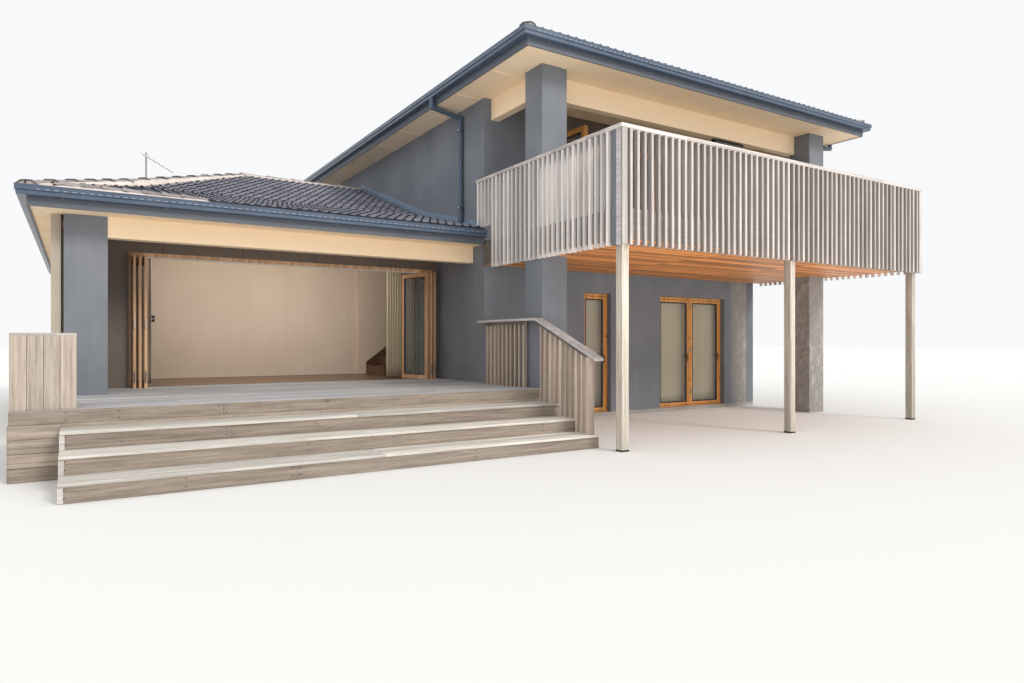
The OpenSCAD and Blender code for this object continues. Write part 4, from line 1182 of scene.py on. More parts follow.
@dataclass
class Deck:
    """Deck boards and fascia, three boarded treads, riser boards, end cladding and the planter."""

    left: float = -10.0
    right: float = BOX_LEFT
    front: float = DECK_FRONT
    back: float = DECK_BACK
    wall: float = -9.595
    side_back: float = 0.365
    steps_left: float = -9.564
    top: float = DECK_TOP
    rise: float = STEP_RISE
    going: float = STEP_GOING
    board: float = 0.09
    board_long: float = 2.4
    thick: float = 0.032
    gap: float = 0.005
    nosing: float = 0.02
    fascia: float = 0.14
    clad: float = 0.143
    cut: float = 0.0015
    joints: tuple[float, ...] = (-7.98, -7.98, -6.2, -7.49)

    def floor(self) -> None:
        """Lays the deck boards in two fields on a dark bed, and the fascia in front of them."""
        made = Shape()
        step, foot, joint = self.board + self.gap, self.top - self.fascia, self.joints[0]
        for left, right, back in ((self.wall, self.right, self.back), (self.left, self.wall, self.side_back)):
            first = self.front + 0.027
            unit = boxed((0, 0, -self.thick), (self.board_long - 0.004, self.board, 0), 0.003)
            count = math.ceil((right - left) / self.board_long) + 1
            area = Shape()
            area.take(BOARD_ROWS.lay(
                unit, DECK, (left - self.board_long / 2, first, self.top), (self.board_long, 0, 0), count,
                (0, step, 0), math.ceil((back - first) / step), stagger=(0.9, 0, 0), seed=5), DECK)
            area.trim(((left, self.front), (right, self.front), (right, back), (left, back)))
            data = bpy.data.meshes.new("area")
            area.mesh.to_mesh(data)
            area.mesh.free()
            made.take(bpy.data.objects.new("area", data), DECK)
            made.block((left, self.front + 0.04, foot), (right, back, self.top - 0.036), SKIRT)
        for a, b in ((self.left, joint - self.cut), (joint + self.cut, self.right)):
            made.block((a, self.front, foot), (b, self.front + 0.025, self.top), SKIRT, 0.003)
        made.piece("deck_boards", Slot.DECK, stands_for=("deck_floor",))

    def treads(self) -> None:
        """Lays three boards on each step, the nosing board eased at its edge."""
        made = Shape()
        for i in (1, 2, 3):
            near = self.front - i * self.going - self.nosing
            deep = self.going + self.nosing + (0 if i == 1 else 0.025)
            wide = (deep - 2 * self.gap) / 3
            half = (self.right - self.steps_left) / 2
            unit = boxed((0, 0, -self.thick), (half - 0.002, wide, 0), 0.005)
            made.take(BOARD_ROWS.lay(unit, TREAD, (self.steps_left, near, self.top - i * self.rise),
                                     (half, 0, 0), 2, (0, wide + self.gap, 0), 3, seed=30 + i), TREAD)
        made.piece("tread_boards", Slot.DECK, stands_for=("steps",))

    def risers(self) -> None:
        """Faces the risers, the deck's front beside the steps and its left side with boards."""
        made = Shape()
        left = self.steps_left
        for i in (1, 2, 3):
            y, joint = self.front - i * self.going, self.joints[i]
            low = max(0.0, self.top - (i + 1) * self.rise + 0.001)
            high = self.top - i * self.rise - self.thick
            for a, b in ((left, joint - self.cut), (joint + self.cut, self.right)):
                made.block((a, y - 0.004, low), (b, y, high), SKIRT, 0.0015)
            made.block((left - 0.001, y - 0.007, low), (left + 0.045, y, high), RAIL, 0.0015)
        for i in range(4):
            low, high = i * self.clad + 0.002, (i + 1) * self.clad - 0.003
            for x0, x1, y1 in ((self.left, left, self.front), (self.left - 0.012, self.left, self.side_back)):
                made.block((x0, self.front - 0.012, low), (x1, y1, high), SKIRT, 0.003)
        made.piece("riser_boards", Slot.DECK)

    def nails(self) -> None:
        """Sets nail heads in pairs at the ends and joints of fascia, risers and treads."""
        made = Shape()
        for i in range(4):
            y = self.front - i * self.going - 0.004
            z = self.top - i * self.rise - (0.055 if i else 0.03)
            for x in (self.joints[i] - 0.05, self.joints[i] + 0.03, self.steps_left + 0.05, self.right - 0.08,
                      self.joints[i] + 2.1, self.joints[i] - 1.05):
                unit = Shape()
                unit.tube(((0, 0, 0), (0, -0.0035, 0)), 0.006, DARK_METAL, 8)
                made.take(FIXINGS.lay(unit, DARK_METAL, (x, y, z), (0, 0, -0.075), 2), DARK_METAL)
        made.piece("board_nails", Slot.DECK)

    def planter(self) -> None:
        """Builds the planter from upright boards with a light capping."""
        low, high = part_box("planter_box")
        made = Shape()
        board, tall = 0.022, high.z - low.z - 0.024
        corners = [(low.x, low.y), (high.x, low.y), (high.x, high.y), (low.x, high.y)]
        for (ax, ay), (bx, by) in zip(corners, corners[1:] + corners[:1]):
            way = Vector((bx - ax, by - ay, 0))
            wide = way.length / 4
            way.normalize()
            unit = boxed((self.cut, 0, 0), (wide - self.cut, board, tall), 0.003)
            made.take(BOARD_ROWS.lay(unit, BOX_WOOD, (ax, ay, low.z), way * wide, 4,
                                     turn=(0, 0, math.atan2(way.y, way.x)), seed=int(ax * -7)), BOX_WOOD)
        floor, lining, foot, top = 0.06, 0.77, 0.776, 0.8
        made.block((low.x + board, low.y + board, low.z), (high.x - board, high.y - board, low.z + floor),
                   PANEL)
        path = [(x, y, low.z) for x, y in corners]
        made.sweep(((-board, floor), (-0.04, floor), (-0.04, lining), (-board, lining)), path, PANEL, True)
        made.sweep(((0.0, foot), (-0.06, foot), (-0.06, top), (0.0, top)), path, RAIL, True)
        made.piece("planter_boards", Slot.WEATHERED, stands_for=("planter_box",))

    def build(self) -> None:
        """Makes every boarded piece of the deck."""
        self.floor()
        self.treads()
        self.risers()
        self.nails()
        self.planter()


@dataclass
class Balcony:
    """Cedar lining boards, screws in the battens, post shoes and the small lamp hook."""

    low: tuple[float, float] = (-3.52, -3.685)
    high: tuple[float, float] = (3.62, BOX_FRONT)
    lining_z: float = 2.74
    board: float = 0.086
    joint: float = 0.011
    screw_levels: tuple[float, ...] = (4.12, 2.95)
    posts_x: tuple[float, ...] = (-3.48, -0.0425, 3.465)
    posts_y: float = -3.64
    post: float = 0.115
    shoe: float = 0.004
    shoe_high: float = 0.02

    def lining(self) -> None:
        """Lays narrow boards with eased edges under the joists."""
        made = Shape()
        long = (self.high[0] - self.low[0]) / 3
        rows = int((self.high[1] - self.low[1]) / self.board)
        unit = boxed((0.001, 0, -0.01), (long - 0.001, self.board - self.joint, 0), 0.003)
        made.take(BOARD_ROWS.lay(unit, CEDAR, (self.low[0], self.low[1], self.lining_z), (long, 0, 0), 3,
                                 (0, self.board, 0), rows, seed=3), CEDAR)
        made.piece("cedar_boards", Slot.CEDAR)

    def screws(self) -> None:
        """Sets screw heads where the battens cross the rail and the rim."""
        made = Shape()
        screens = Screens()
        middle, front, side = screens.wide / 2, RIM_FRONT - screens.proud, RIM_LEFT - screens.proud
        rows = ((screens.front_first + middle, front, (0, -1, 0), (BATTEN_STEP, 0, 0), screens.front_count),
                (side, screens.side_first + middle, (-1, 0, 0), (0, BATTEN_STEP, 0), screens.side_count))
        for z in self.screw_levels:
            for x, y, way, step, count in rows:
                unit = Shape()
                unit.tube(((0, 0, 0), Vector(way) * 0.002), 0.005, ZINC, 6)
                made.take(FIXINGS.lay(unit, ZINC, (x, y, z), step, count), ZINC)
        made.piece("batten_screws", Slot.BATTENS)

    def shoes(self) -> None:
        """Makes the dark steel shoe at the foot of each post, and the hook under the lining."""
        made = Shape()
        y0, y1 = self.posts_y, self.posts_y + self.post
        for x0 in self.posts_x:
            x1 = x0 + self.post
            for (ax, ay), (bx, by) in (((x0 - self.shoe, y0 - self.shoe), (x1 + self.shoe, y0)),
                                       ((x0 - self.shoe, y1), (x1 + self.shoe, y1 + self.shoe)),
                                       ((x0 - self.shoe, y0), (x0, y1)), ((x1, y0), (x1 + self.shoe, y1))):
                made.block((ax, ay, 0), (bx, by, self.shoe_high), DARK_METAL)
        made.piece("post_shoes", Slot.POST)
        made = Shape()
        x, y, z = 2.62, -0.3, 2.73
        bend = ((0, 0), (0, -0.04), (0.005, -0.065), (0.02, -0.075), (0.035, -0.065), (0.035, -0.055))
        made.tube([(x + across, y, z + up) for across, up in bend], 0.006, ZINC, 8)
        made.tube([(x, y, z + 0.001), (x, y, z - 0.006)], 0.025, ZINC, 14)
        made.piece("lamp_hook", Slot.CEDAR, smooth=40)

    def build(self) -> None:
        """Makes the balcony's small pieces."""
        self.lining()
        self.screws()
        self.shoes()


@dataclass
class Screens:
    """Battened screens of the balcony, the deck and the steps: battens on edge, dark rails and flat caps;
    under the caps of the deck and the steps, the dark rail also stands for the cap's painted shadow.
    """

    wide: float = 0.044
    deep: float = 0.075
    side_deep: float = 0.06
    proud: float = 0.012
    low: float = 2.672
    top: float = 4.165
    cap: float = 0.05
    over: float = 0.02
    lid: float = 0.08
    strip: float = 0.014
    corner: float = 0.09
    front_first: float = -3.416
    front_count: int = 57
    side_first: float = RIM_FRONT + 2 * BATTEN_STEP + 0.011
    side_count: int = 25
    pier_top: float = 3.38
    slope: float = STEP_RISE / STEP_GOING
    deck_x: float = -3.6
    deck_top: float = 1.74
    deck_cap: float = 0.04

    def row(self, made: Shape, finish: Finish, start: Point, count: int, size: Point,
            run: Run = Run.Y) -> None:
        """Adds a row of upright battens.

        Args:
            made: Shape that takes them.
            finish: Their finish.
            start: Lowest corner of the first one.
            count: How many there are.
            size: Size of one.
            run: Axis along which they follow one another.
        """
        way = [0.0, 0.0, 0.0]
        way[run.value] = BATTEN_STEP
        made.take(BOARD_ROWS.lay(boxed((0, 0, 0), size, 0.003), finish, start, tuple(way), count,
                                 wander=(0.001, 0.001, 0.0), seed=count), finish)

    def balcony(self) -> None:
        """Makes the balcony's front, left and right screens."""
        x0, x1, y0, y1 = RIM_LEFT, RIM_RIGHT, RIM_FRONT, BOX_FRONT
        high, cap, rail = self.top - self.low, self.top + self.cap, self.top - 0.09
        made = Shape()
        self.row(made, BATTEN, (self.front_first, y0 - self.proud, self.low), self.front_count,
                 (self.wide, self.deep, high), Run.X)
        for x in (x0, x1 - self.corner):
            made.block((x, y0 - self.proud, self.low), (x + self.corner, y0 + 0.018, self.top), BATTEN, 0.003)
        made.block((x0 + 0.067, y0 + 0.06, rail), (x1 - 0.05, y0 + 0.06 + self.strip, self.top), BEARER)
        left, right, inner = x0 - self.over, x1 + self.over, y0 + self.lid
        made.block((left, y0 - self.over, self.top), (right, inner, cap), RAIL, 0.004)
        made.piece("front_battens", Slot.BATTENS, stands_for=("balcony_front",))
        made = Shape()
        size = (self.side_deep, self.wide, high)
        self.row(made, BATTEN_PAINTED_SUNLIT, (x0 - self.proud, self.side_first, self.low), self.side_count, size)
        self.row(made, BATTEN_PAINTED_SUNLIT,
                 (x0 - self.proud, self.side_first + self.side_count * BATTEN_STEP, self.pier_top), 4,
                 (self.side_deep, self.wide, self.top - self.pier_top))
        # The second board at the corner is painted shade: a dark board where the shaded post shows through
        # the gap.
        for near, far, finish in ((y0 + 0.0185, y0 + 0.125, HANDRAIL), (y0 + 0.1255, y0 + 0.225, CORNER_PAINTED_SHADE)):
            made.block((x0 + self.proud, near, self.low), (x0 + 0.0655, far, self.top), finish, 0.003)
        for a, b in ((-3.489, -1.87), (-1.4, -0.12)):
            made.block((x0 + 0.047, a, rail), (x0 + 0.047 + self.strip, b, self.top), BEARER)
        made.block((left, inner + 0.0005, self.top), (x0 + self.lid, y1, cap), RAIL, 0.004)
        made.block((left, y1 - 0.002, self.top), (x0 + 0.05, 0.061, cap), RAIL, 0.004)
        made.piece("left_battens", Slot.BATTENS, stands_for=("balcony_left",))
        made = Shape()
        face = x1 + self.proud
        self.row(made, BATTEN_PAINTED_SUNLIT, (face - self.side_deep, y0 + BATTEN_STEP + 0.011, self.low), 28, size)
        made.block((x1 - 0.018, y0 + 0.0185, self.low), (face, y0 + 0.09, self.top), BATTEN_PAINTED_SUNLIT, 0.003)
        made.block((x1 - 0.062, -3.6, rail), (x1 - 0.062 + self.strip, y1, self.top), BEARER)
        made.block((x1 - self.lid, inner + 0.0005, self.top), (right, y1, cap), RAIL, 0.004)
        made.piece("right_battens", Slot.BATTENS, stands_for=("balcony_right",))

    def deck(self) -> None:
        """Makes the screen between the pier and the wall, with its wide cap."""
        made = Shape()
        x, top = self.deck_x, self.deck_top
        self.row(made, SCREEN, (x, -1.514, DECK_TOP), 10, (self.side_deep, self.wide, top - DECK_TOP))
        # A dark rail under the cap, outside the battens; it also stands for the cap's shadow as painted
        # shade.
        made.block((x - self.proud, -1.52, top - 0.052), (x, -0.345, top), BEARER, 0.002)
        made.block((x - 0.04, DECK_FRONT, top), (BOX_LEFT, BOX_FRONT, top + self.deck_cap), HANDRAIL, 0.004)
        made.piece("deck_battens", Slot.BATTENS, stands_for=("deck_screen",))

    def stair(self) -> None:
        """Makes the screen beside the steps, whose rail falls with them to the newel."""
        x, front, low, newel = self.deck_x, DECK_FRONT, -3.175, 0.09
        made = Shape()
        for i in range(1, 10):
            y = front - i * BATTEN_STEP + 0.011
            foot = DECK_TOP - STEP_RISE * (int((front - 0.02 - y - self.wide) / STEP_GOING) + 1)
            tops = [self.deck_top + 0.02 - (front - at) * self.slope for at in (y, y + self.wide)]
            made.prism(((y, foot), (y + self.wide, foot), (y + self.wide, tops[1]), (y, tops[0])), Run.X,
                       x, x + self.side_deep, SCREEN)
        made.block((x - newel / 2, low, STEP_RISE),
                   (x + newel / 2, low + newel, self.deck_top - (front - low) * self.slope), SCREEN, 0.004)
        # The cap, and under it a dark rail that also stands for the cap's shadow as painted shade.
        for near, far, y0, under, thick, finish in (
                (x - 0.04, BOX_LEFT, low - 0.12, 0.0, self.deck_cap, HANDRAIL),
                (x - self.proud, x, low + newel, -0.05, 0.05, BEARER)):
            z0 = self.deck_top + under - (front - y0) * self.slope
            made.prism(((y0, z0), (y0, z0 + thick), (front, self.deck_top + under + thick),
                        (front, self.deck_top + under)), Run.X, near, far, finish)
        made.piece("stair_battens", Slot.BATTENS, stands_for=("stair_screen",))

    def build(self) -> None:
        """Makes the five screens."""
        self.balcony()
        self.deck()
        self.stair()


@dataclass
class Joinery:
    """Timber doors with glass in them, their frames, hinges and fittings, and the coated windows."""

    front: float = -0.005
    floor: float = 0.065
    head: float = 2.35
    narrow: tuple[float, float] = (-1.32, -0.67)
    pair: tuple[float, float] = (0.64, 2.55)
    jamb: float = 0.045
    frame_deep: float = 0.11
    play: float = 0.008
    pin: float = 0.004
    thick: float = 0.04
    pane: float = 0.006
    hinge_levels: tuple[float, ...] = (0.25, 1.15, 2.05)
    hinge_half: float = 0.05
    lever: float = 1.11

    def leaf(self, made: Shape, wide: float, low: float, high: float, timber: Finish = DOOR,
             stile: float = 0.05, bead: float = 0.012) -> None:
        """Adds a glazed leaf whose lower left front corner is the shape's place.

        Args:
            made: Shape that takes it.
            wide: Width of the leaf.
            low: Level of its lower edge.
            high: Level of its upper edge.
            timber: Finish of stiles and rails.
            stile: Width of stiles and rails.
            bead: Width of the beads that hold the glass.
        """
        thick, glass = self.thick, ((self.thick - self.pane) / 2, (self.thick + self.pane) / 2)
        made.block((0, 0, low), (stile, thick, high), timber, 0.003)
        made.block((wide - stile, 0, low), (wide, thick, high), timber, 0.003)
        for a, b in ((low, low + stile), (high - stile, high)):
            made.block((stile - 0.001, 0.0005, a), (wide - stile + 0.001, thick - 0.0005, b), timber, 0.003)
        for y0, y1 in ((0.005, glass[0]), (glass[1], thick - 0.005)):
            for a, b in ((stile, stile + bead), (wide - stile - bead, wide - stile)):
                made.block((a, y0, low + stile), (b, y1, high - stile), GASKET)
            for a, b in ((low + stile, low + stile + bead), (high - stile - bead, high - stile)):
                made.block((stile + bead, y0, a), (wide - stile - bead, y1, b), GASKET)
        made.block((stile + 0.002, glass[0], low + stile + 0.002),
                   (wide - stile - 0.002, glass[1], high - stile - 0.002), GLASS)

    def turned(self, made: Shape, x: float, y: float, fan: float = 0.0) -> None:
        """Sets the shape's place for a leaf that stands across the front, its right face at x."""
        made.place = Matrix.Translation((x, y, 0)) @ Matrix.Rotation(math.radians(90 + fan), 4, "Z")

    def hinges(self, made: Shape, x: float, upper: bool) -> None:
        """Adds one half of every hinge on an axis.

        Args:
            made: Shape that takes them.
            x: Place of the axis.
            upper: True for the halves on the leaf, or False for those on the frame, with their pins.
        """
        y, way, tall = self.front - 0.008, 1 if upper else -1, self.hinge_half
        for level in self.hinge_levels:
            z = self.floor + level + (tall + 0.0003 if upper else 0)
            made.tube(((x, y, z), (x, y, z + tall)), 0.008, BRASS, 12)
            low, high = sorted((x, x + way * 0.04))
            made.block((low, self.front - 0.003, z), (high, self.front, z + tall), BRASS)
            if not upper:
                made.tube(((x, y, z + tall), (x, y, z + 2 * tall + 0.004)), self.pin, BRASS, 8)

    def spans(self) -> dict[str, tuple[float, float]]:
        """Works out where the hinged leaves stand.

        Returns:
            Left and right side of each leaf, by the name of its frame node.
        """
        edge, half, middle = self.jamb + self.play, self.jamb / 2 + self.play, sum(self.pair) / 2
        return {"narrow_door": (self.narrow[0] + edge, self.narrow[1] - edge),
                "pair_door_left": (self.pair[0] + edge, middle - half),
                "pair_door_right": (middle + half, self.pair[1] - edge)}

    def ground_leaf(self, name: str, body: str, x0: float, x1: float) -> None:
        """Makes one hinged leaf with its hinge halves and its levers.

        Args:
            name: Frame node that it stands for.
            body: Body that it rides on.
            x0: Its left side.
            x1: Its right side.
        """
        made = Shape()
        made.place = Matrix.Translation((x0, self.front, 0))
        self.leaf(made, x1 - x0, self.floor + 0.033, self.head - self.jamb - self.play, bead=0.024)
        made.place = Matrix.Identity(4)
        self.hinges(made, x0 - self.pin, True)
        x, y, back, z = x1 - 0.027, self.front, self.front + self.thick, self.lever
        for plate, face, grip in ((y - 0.004, y, y - 0.028), (back, back, back + 0.028)):
            made.block((x - 0.012, plate, z - 0.11), (x + 0.012, plate + 0.004, z + 0.06), DARK_METAL, 0.002)
            made.tube(((x, face, z), (x, grip, z)), 0.007, DARK_METAL, 10)
            made.tube(((x + 0.006, grip, z), (x - 0.085, grip, z)), 0.007, DARK_METAL, 10)
        made.piece(name + "_joinery", Slot.DOOR, body, (name,))

    def ground(self) -> None:
        """Makes the two doorways' frames and the three hinged leaves."""
        made = Shape()
        y0, y1, sill, jamb = self.front, self.front + self.frame_deep, self.floor + 0.025, self.jamb
        for x0, x1 in (self.narrow, self.pair):
            for a, b in ((x0, x0 + jamb), (x1 - jamb, x1)):
                made.block((a, y0, self.floor), (b, y1, self.head), DOOR, 0.003)
            made.block((x0 + 0.044, y0, self.head - jamb), (x1 - 0.044, y1, self.head), DOOR, 0.003)
            made.block((x0, y0 - 0.02, self.floor), (x1, y1, sill), DOOR, 0.004)
            made.block((x0 + jamb, y0 + 0.045, sill), (x1 - jamb, y0 + 0.06, sill + 0.006), ZINC)
        middle = sum(self.pair) / 2
        made.block((middle - jamb / 2, y0, self.floor), (middle + jamb / 2, y1, self.head), DOOR, 0.003)
        for left, _ in self.spans().values():
            self.hinges(made, left - self.pin, False)
        right, narrow_right = self.pair[1] - 0.02, self.narrow[1] - 0.02
        for x, z in ((middle, 0.62), (middle, 1.5), (right, 0.63), (narrow_right, 1.53)):
            made.block((x - 0.012, y0 - 0.004, z - 0.02), (x + 0.012, y0, z + 0.02), DARK_METAL, 0.0015)
        made.piece("door_frame_joinery", Slot.DOOR, stands_for=("door_frames",))
        for (name, span), body in zip(self.spans().items(), ("narrow_leaf", "left_leaf", "right_leaf")):
            self.ground_leaf(name, body, *span)

    def upper(self) -> None:
        """Makes the balcony's doorway: jambs, head, two leaves folded open and two closed."""
        made = Shape()
        x0, x1, z0, z1 = -2.1, 1.5, 3.15, 5.25
        y0, y1, top, jamb, leaf = self.front, self.front + self.frame_deep, z1 - 0.053, self.jamb, 0.855
        for a, b in ((x0, x0 + jamb), (x1 - jamb, x1)):
            made.block((a, y0, z0), (b, y1, z1), DOOR, 0.003)
        made.block((x0 + jamb, y0, z1 - jamb), (x1 - jamb, y1, z1), DOOR, 0.003)
        for i in (0, 1):
            self.turned(made, x0 + 0.19 + i * (self.thick + 0.0003), -0.915)
            self.leaf(made, 0.9, z0, top, stile=0.09)
            made.place = Matrix.Translation((x1 - jamb - 0.0003 - (i + 1) * leaf - i * 0.0003, y0, 0))
            self.leaf(made, leaf, z0, top, stile=0.09)
        made.place = Matrix.Identity(4)
        made.piece("upper_door_joinery", Slot.DOOR, stands_for=("upper_doors",))

    def folding(self) -> None:
        """Makes the folded leaves with their handles and bolts, and the track under the head."""
        made = Shape()
        x0, x1, y, z0, z1, leaf, apart = -8.75, -3.61, 1.445, DECK_TOP, 2.732, 0.84, 0.075
        for i in range(3):
            for x, fan in ((x0 + 0.088 + i * apart, 0), (x1 - 0.048 - i * apart, 11 if i == 2 else 0)):
                self.turned(made, x, y, fan)
                self.leaf(made, leaf, z0, z1, FOLDING, stile=0.075)
        made.place = Matrix.Identity(4)
        made.piece("folding_leaf_joinery", Slot.DOOR, stands_for=("bifold_leaves",))
        made = Shape()
        for i in (0, 2):
            x, grip = x0 + 0.068 + i * apart, y - 0.035
            made.tube([(x, y, 1.62), (x, grip, 1.63), (x, grip, 1.75), (x, y, 1.76)], 0.007, WHITE_METAL)
            made.block((x - 0.009, y - 0.014, 0.80), (x + 0.009, y, 0.98), ZINC, 0.003)
            made.tube([(x, y - 0.018, 0.80), (x, y - 0.018, 0.96)], 0.006, ZINC)
        for i in range(2):
            x = x1 - 0.068 - i * apart
            made.block((x - 0.009, y - 0.014, 0.80), (x + 0.009, y, 0.98), ZINC, 0.003)
        made.piece("folding_leaf_fittings", Slot.DOOR)
        made = Shape()
        for near, far, low, high, finish in (
                (1.70, 1.712, 2.728, 2.741, WHITE_METAL), (1.76, 1.772, 2.728, 2.741, WHITE_METAL),
                (1.712, 1.76, 2.734, 2.741, DARK_METAL), (1.70, 1.79, z0 - 0.001, z0 + 0.005, ZINC)):
            made.block((x0 + 0.04, near, low), (x1 - 0.04, far, high), finish)
        made.piece("folding_track", Slot.DOOR)

    def window(self, made: Shape, wide: float, low: float, high: float) -> None:
        """Adds a window in two lights, its lower left front corner at the shape's place.

        Args:
            made: Shape that takes it.
            wide: Its width.
            low: Level of its lower edge.
            high: Level of its upper edge.
        """
        frame, sash, half = 0.045, 0.03, wide / 2 - 0.07
        for a, b in ((0, frame), (wide - frame, wide), (wide / 2 - 0.025, wide / 2 + 0.025)):
            made.block((a, 0, low), (b, self.frame_deep, high), WINDOW, 0.002)
        for a, b in ((low, low + frame), (high - frame, high)):
            made.block((0.044, 0.001, a), (wide - 0.044, 0.109, b), WINDOW, 0.002)
        low, high = low + frame, high - frame
        for x in (frame, wide / 2 + 0.025):
            for a, b in ((x, x + sash), (x + half - sash, x + half)):
                made.block((a, 0.035, low), (b, 0.075, high), WINDOW, 0.002)
            for a, b in ((low, low + sash), (high - sash, high)):
                made.block((x + 0.029, 0.036, a), (x + half - 0.029, 0.074, b), WINDOW, 0.002)
            made.block((x + 0.028, 0.052, low + 0.028), (x + half - 0.028, 0.058, high - 0.028), WINDOW_GLASS)

    def windows(self) -> None:
        """Makes the windows of the box's right and back walls and of the wing."""
        made = Shape()
        wide, wing_wide, high = 1.5, 1.8, 1.15
        for top in (2.3, 5.25):
            for y in (2.785, 7.485):
                self.turned(made, 3.44, y)
                self.window(made, wide, top - high, top)
            for x in (-2.25, 0.75):
                made.place = Matrix.Translation((x, 10.515, 0))
                self.window(made, wide, top - high, top)
        wing_low = DECK_TOP + 0.9
        self.turned(made, -9.595, 5.285)
        self.window(made, wing_wide, wing_low, wing_low + high)
        made.place = Matrix.Translation((-7.7, 10.575, 0))
        self.window(made, wing_wide, wing_low, wing_low + high)
        made.place = Matrix.Identity(4)
        made.piece("window_joinery", Slot.WINDOW, stands_for=("windows",))

    def build(self) -> None:
        """Makes every door and window."""
        self.ground()
        self.upper()
        self.folding()
        self.windows()


@dataclass
class Curtain:
    """One pleated curtain on a ceiling track."""

    name: str
    low: tuple[float, float]
    high: tuple[float, float]
    y: float
    pleats: int
    finish: Finish
    deep: float = 0.022
    thick: float = 0.0012

    def build(self) -> None:
        dice = random.Random(self.name)
        phase = [dice.uniform(-0.5, 0.5) for _ in range(self.pleats + 1)]
        across, down = self.pleats * 10, 10
        (x0, z0), (x1, z1) = self.low, self.high
        grid = []
        for j in range(down + 1):
            drop = j / down
            row = []
            for i in range(across + 1):
                share = i / across
                k = min(int(share * self.pleats), self.pleats - 1)
                part = share * self.pleats - k
                sway = (phase[k] * (1 - part) + phase[k + 1] * part) * drop
                turn = math.tau * share * self.pleats + sway
                reach = self.deep * (0.75 + 0.25 * drop)
                fold = 0.006 * math.sin(2 * turn) * (i not in (0, across))
                row.append(Vector((x0 + (x1 - x0) * share + fold, self.y + reach * math.sin(turn),
                                   z1 - (z1 - z0) * drop)))
            grid.append(row)
        mesh = bmesh.new()
        chart = mesh.loops.layers.uv.new("cloth")
        corners, lengths = [], []
        for row in grid:
            corners.append([mesh.verts.new(point) for point in row])
            run = [0.0]
            for a, b in zip(row, row[1:]):
                run.append(run[-1] + (b - a).length)
            lengths.append(run)
        for j in range(down):
            for i in range(across):
                around = ((j, i), (j, i + 1), (j + 1, i + 1), (j + 1, i))
                face = mesh.faces.new([corners[a][b] for a, b in around])
                for loop, (a, b) in zip(face.loops, around):
                    loop[chart].uv = (lengths[a][b], grid[a][b].z)
        data = bpy.data.meshes.new(self.name)
        mesh.to_mesh(data)
        mesh.free()
        data.materials.append(self.finish.surface())
        data.shade_smooth()
        made = bpy.data.objects.new(self.name, data)
        bpy.context.scene.collection.objects.link(made)
        cloth = made.modifiers.new("cloth", "SOLIDIFY")
        cloth.thickness, cloth.offset = self.thick, 0.0
        graph = bpy.context.evaluated_depsgraph_get()
        plain = bpy.data.meshes.new_from_object(made.evaluated_get(graph))
        made.modifiers.clear()
        made.data = plain
        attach(made, "house")
        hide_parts("curtains")


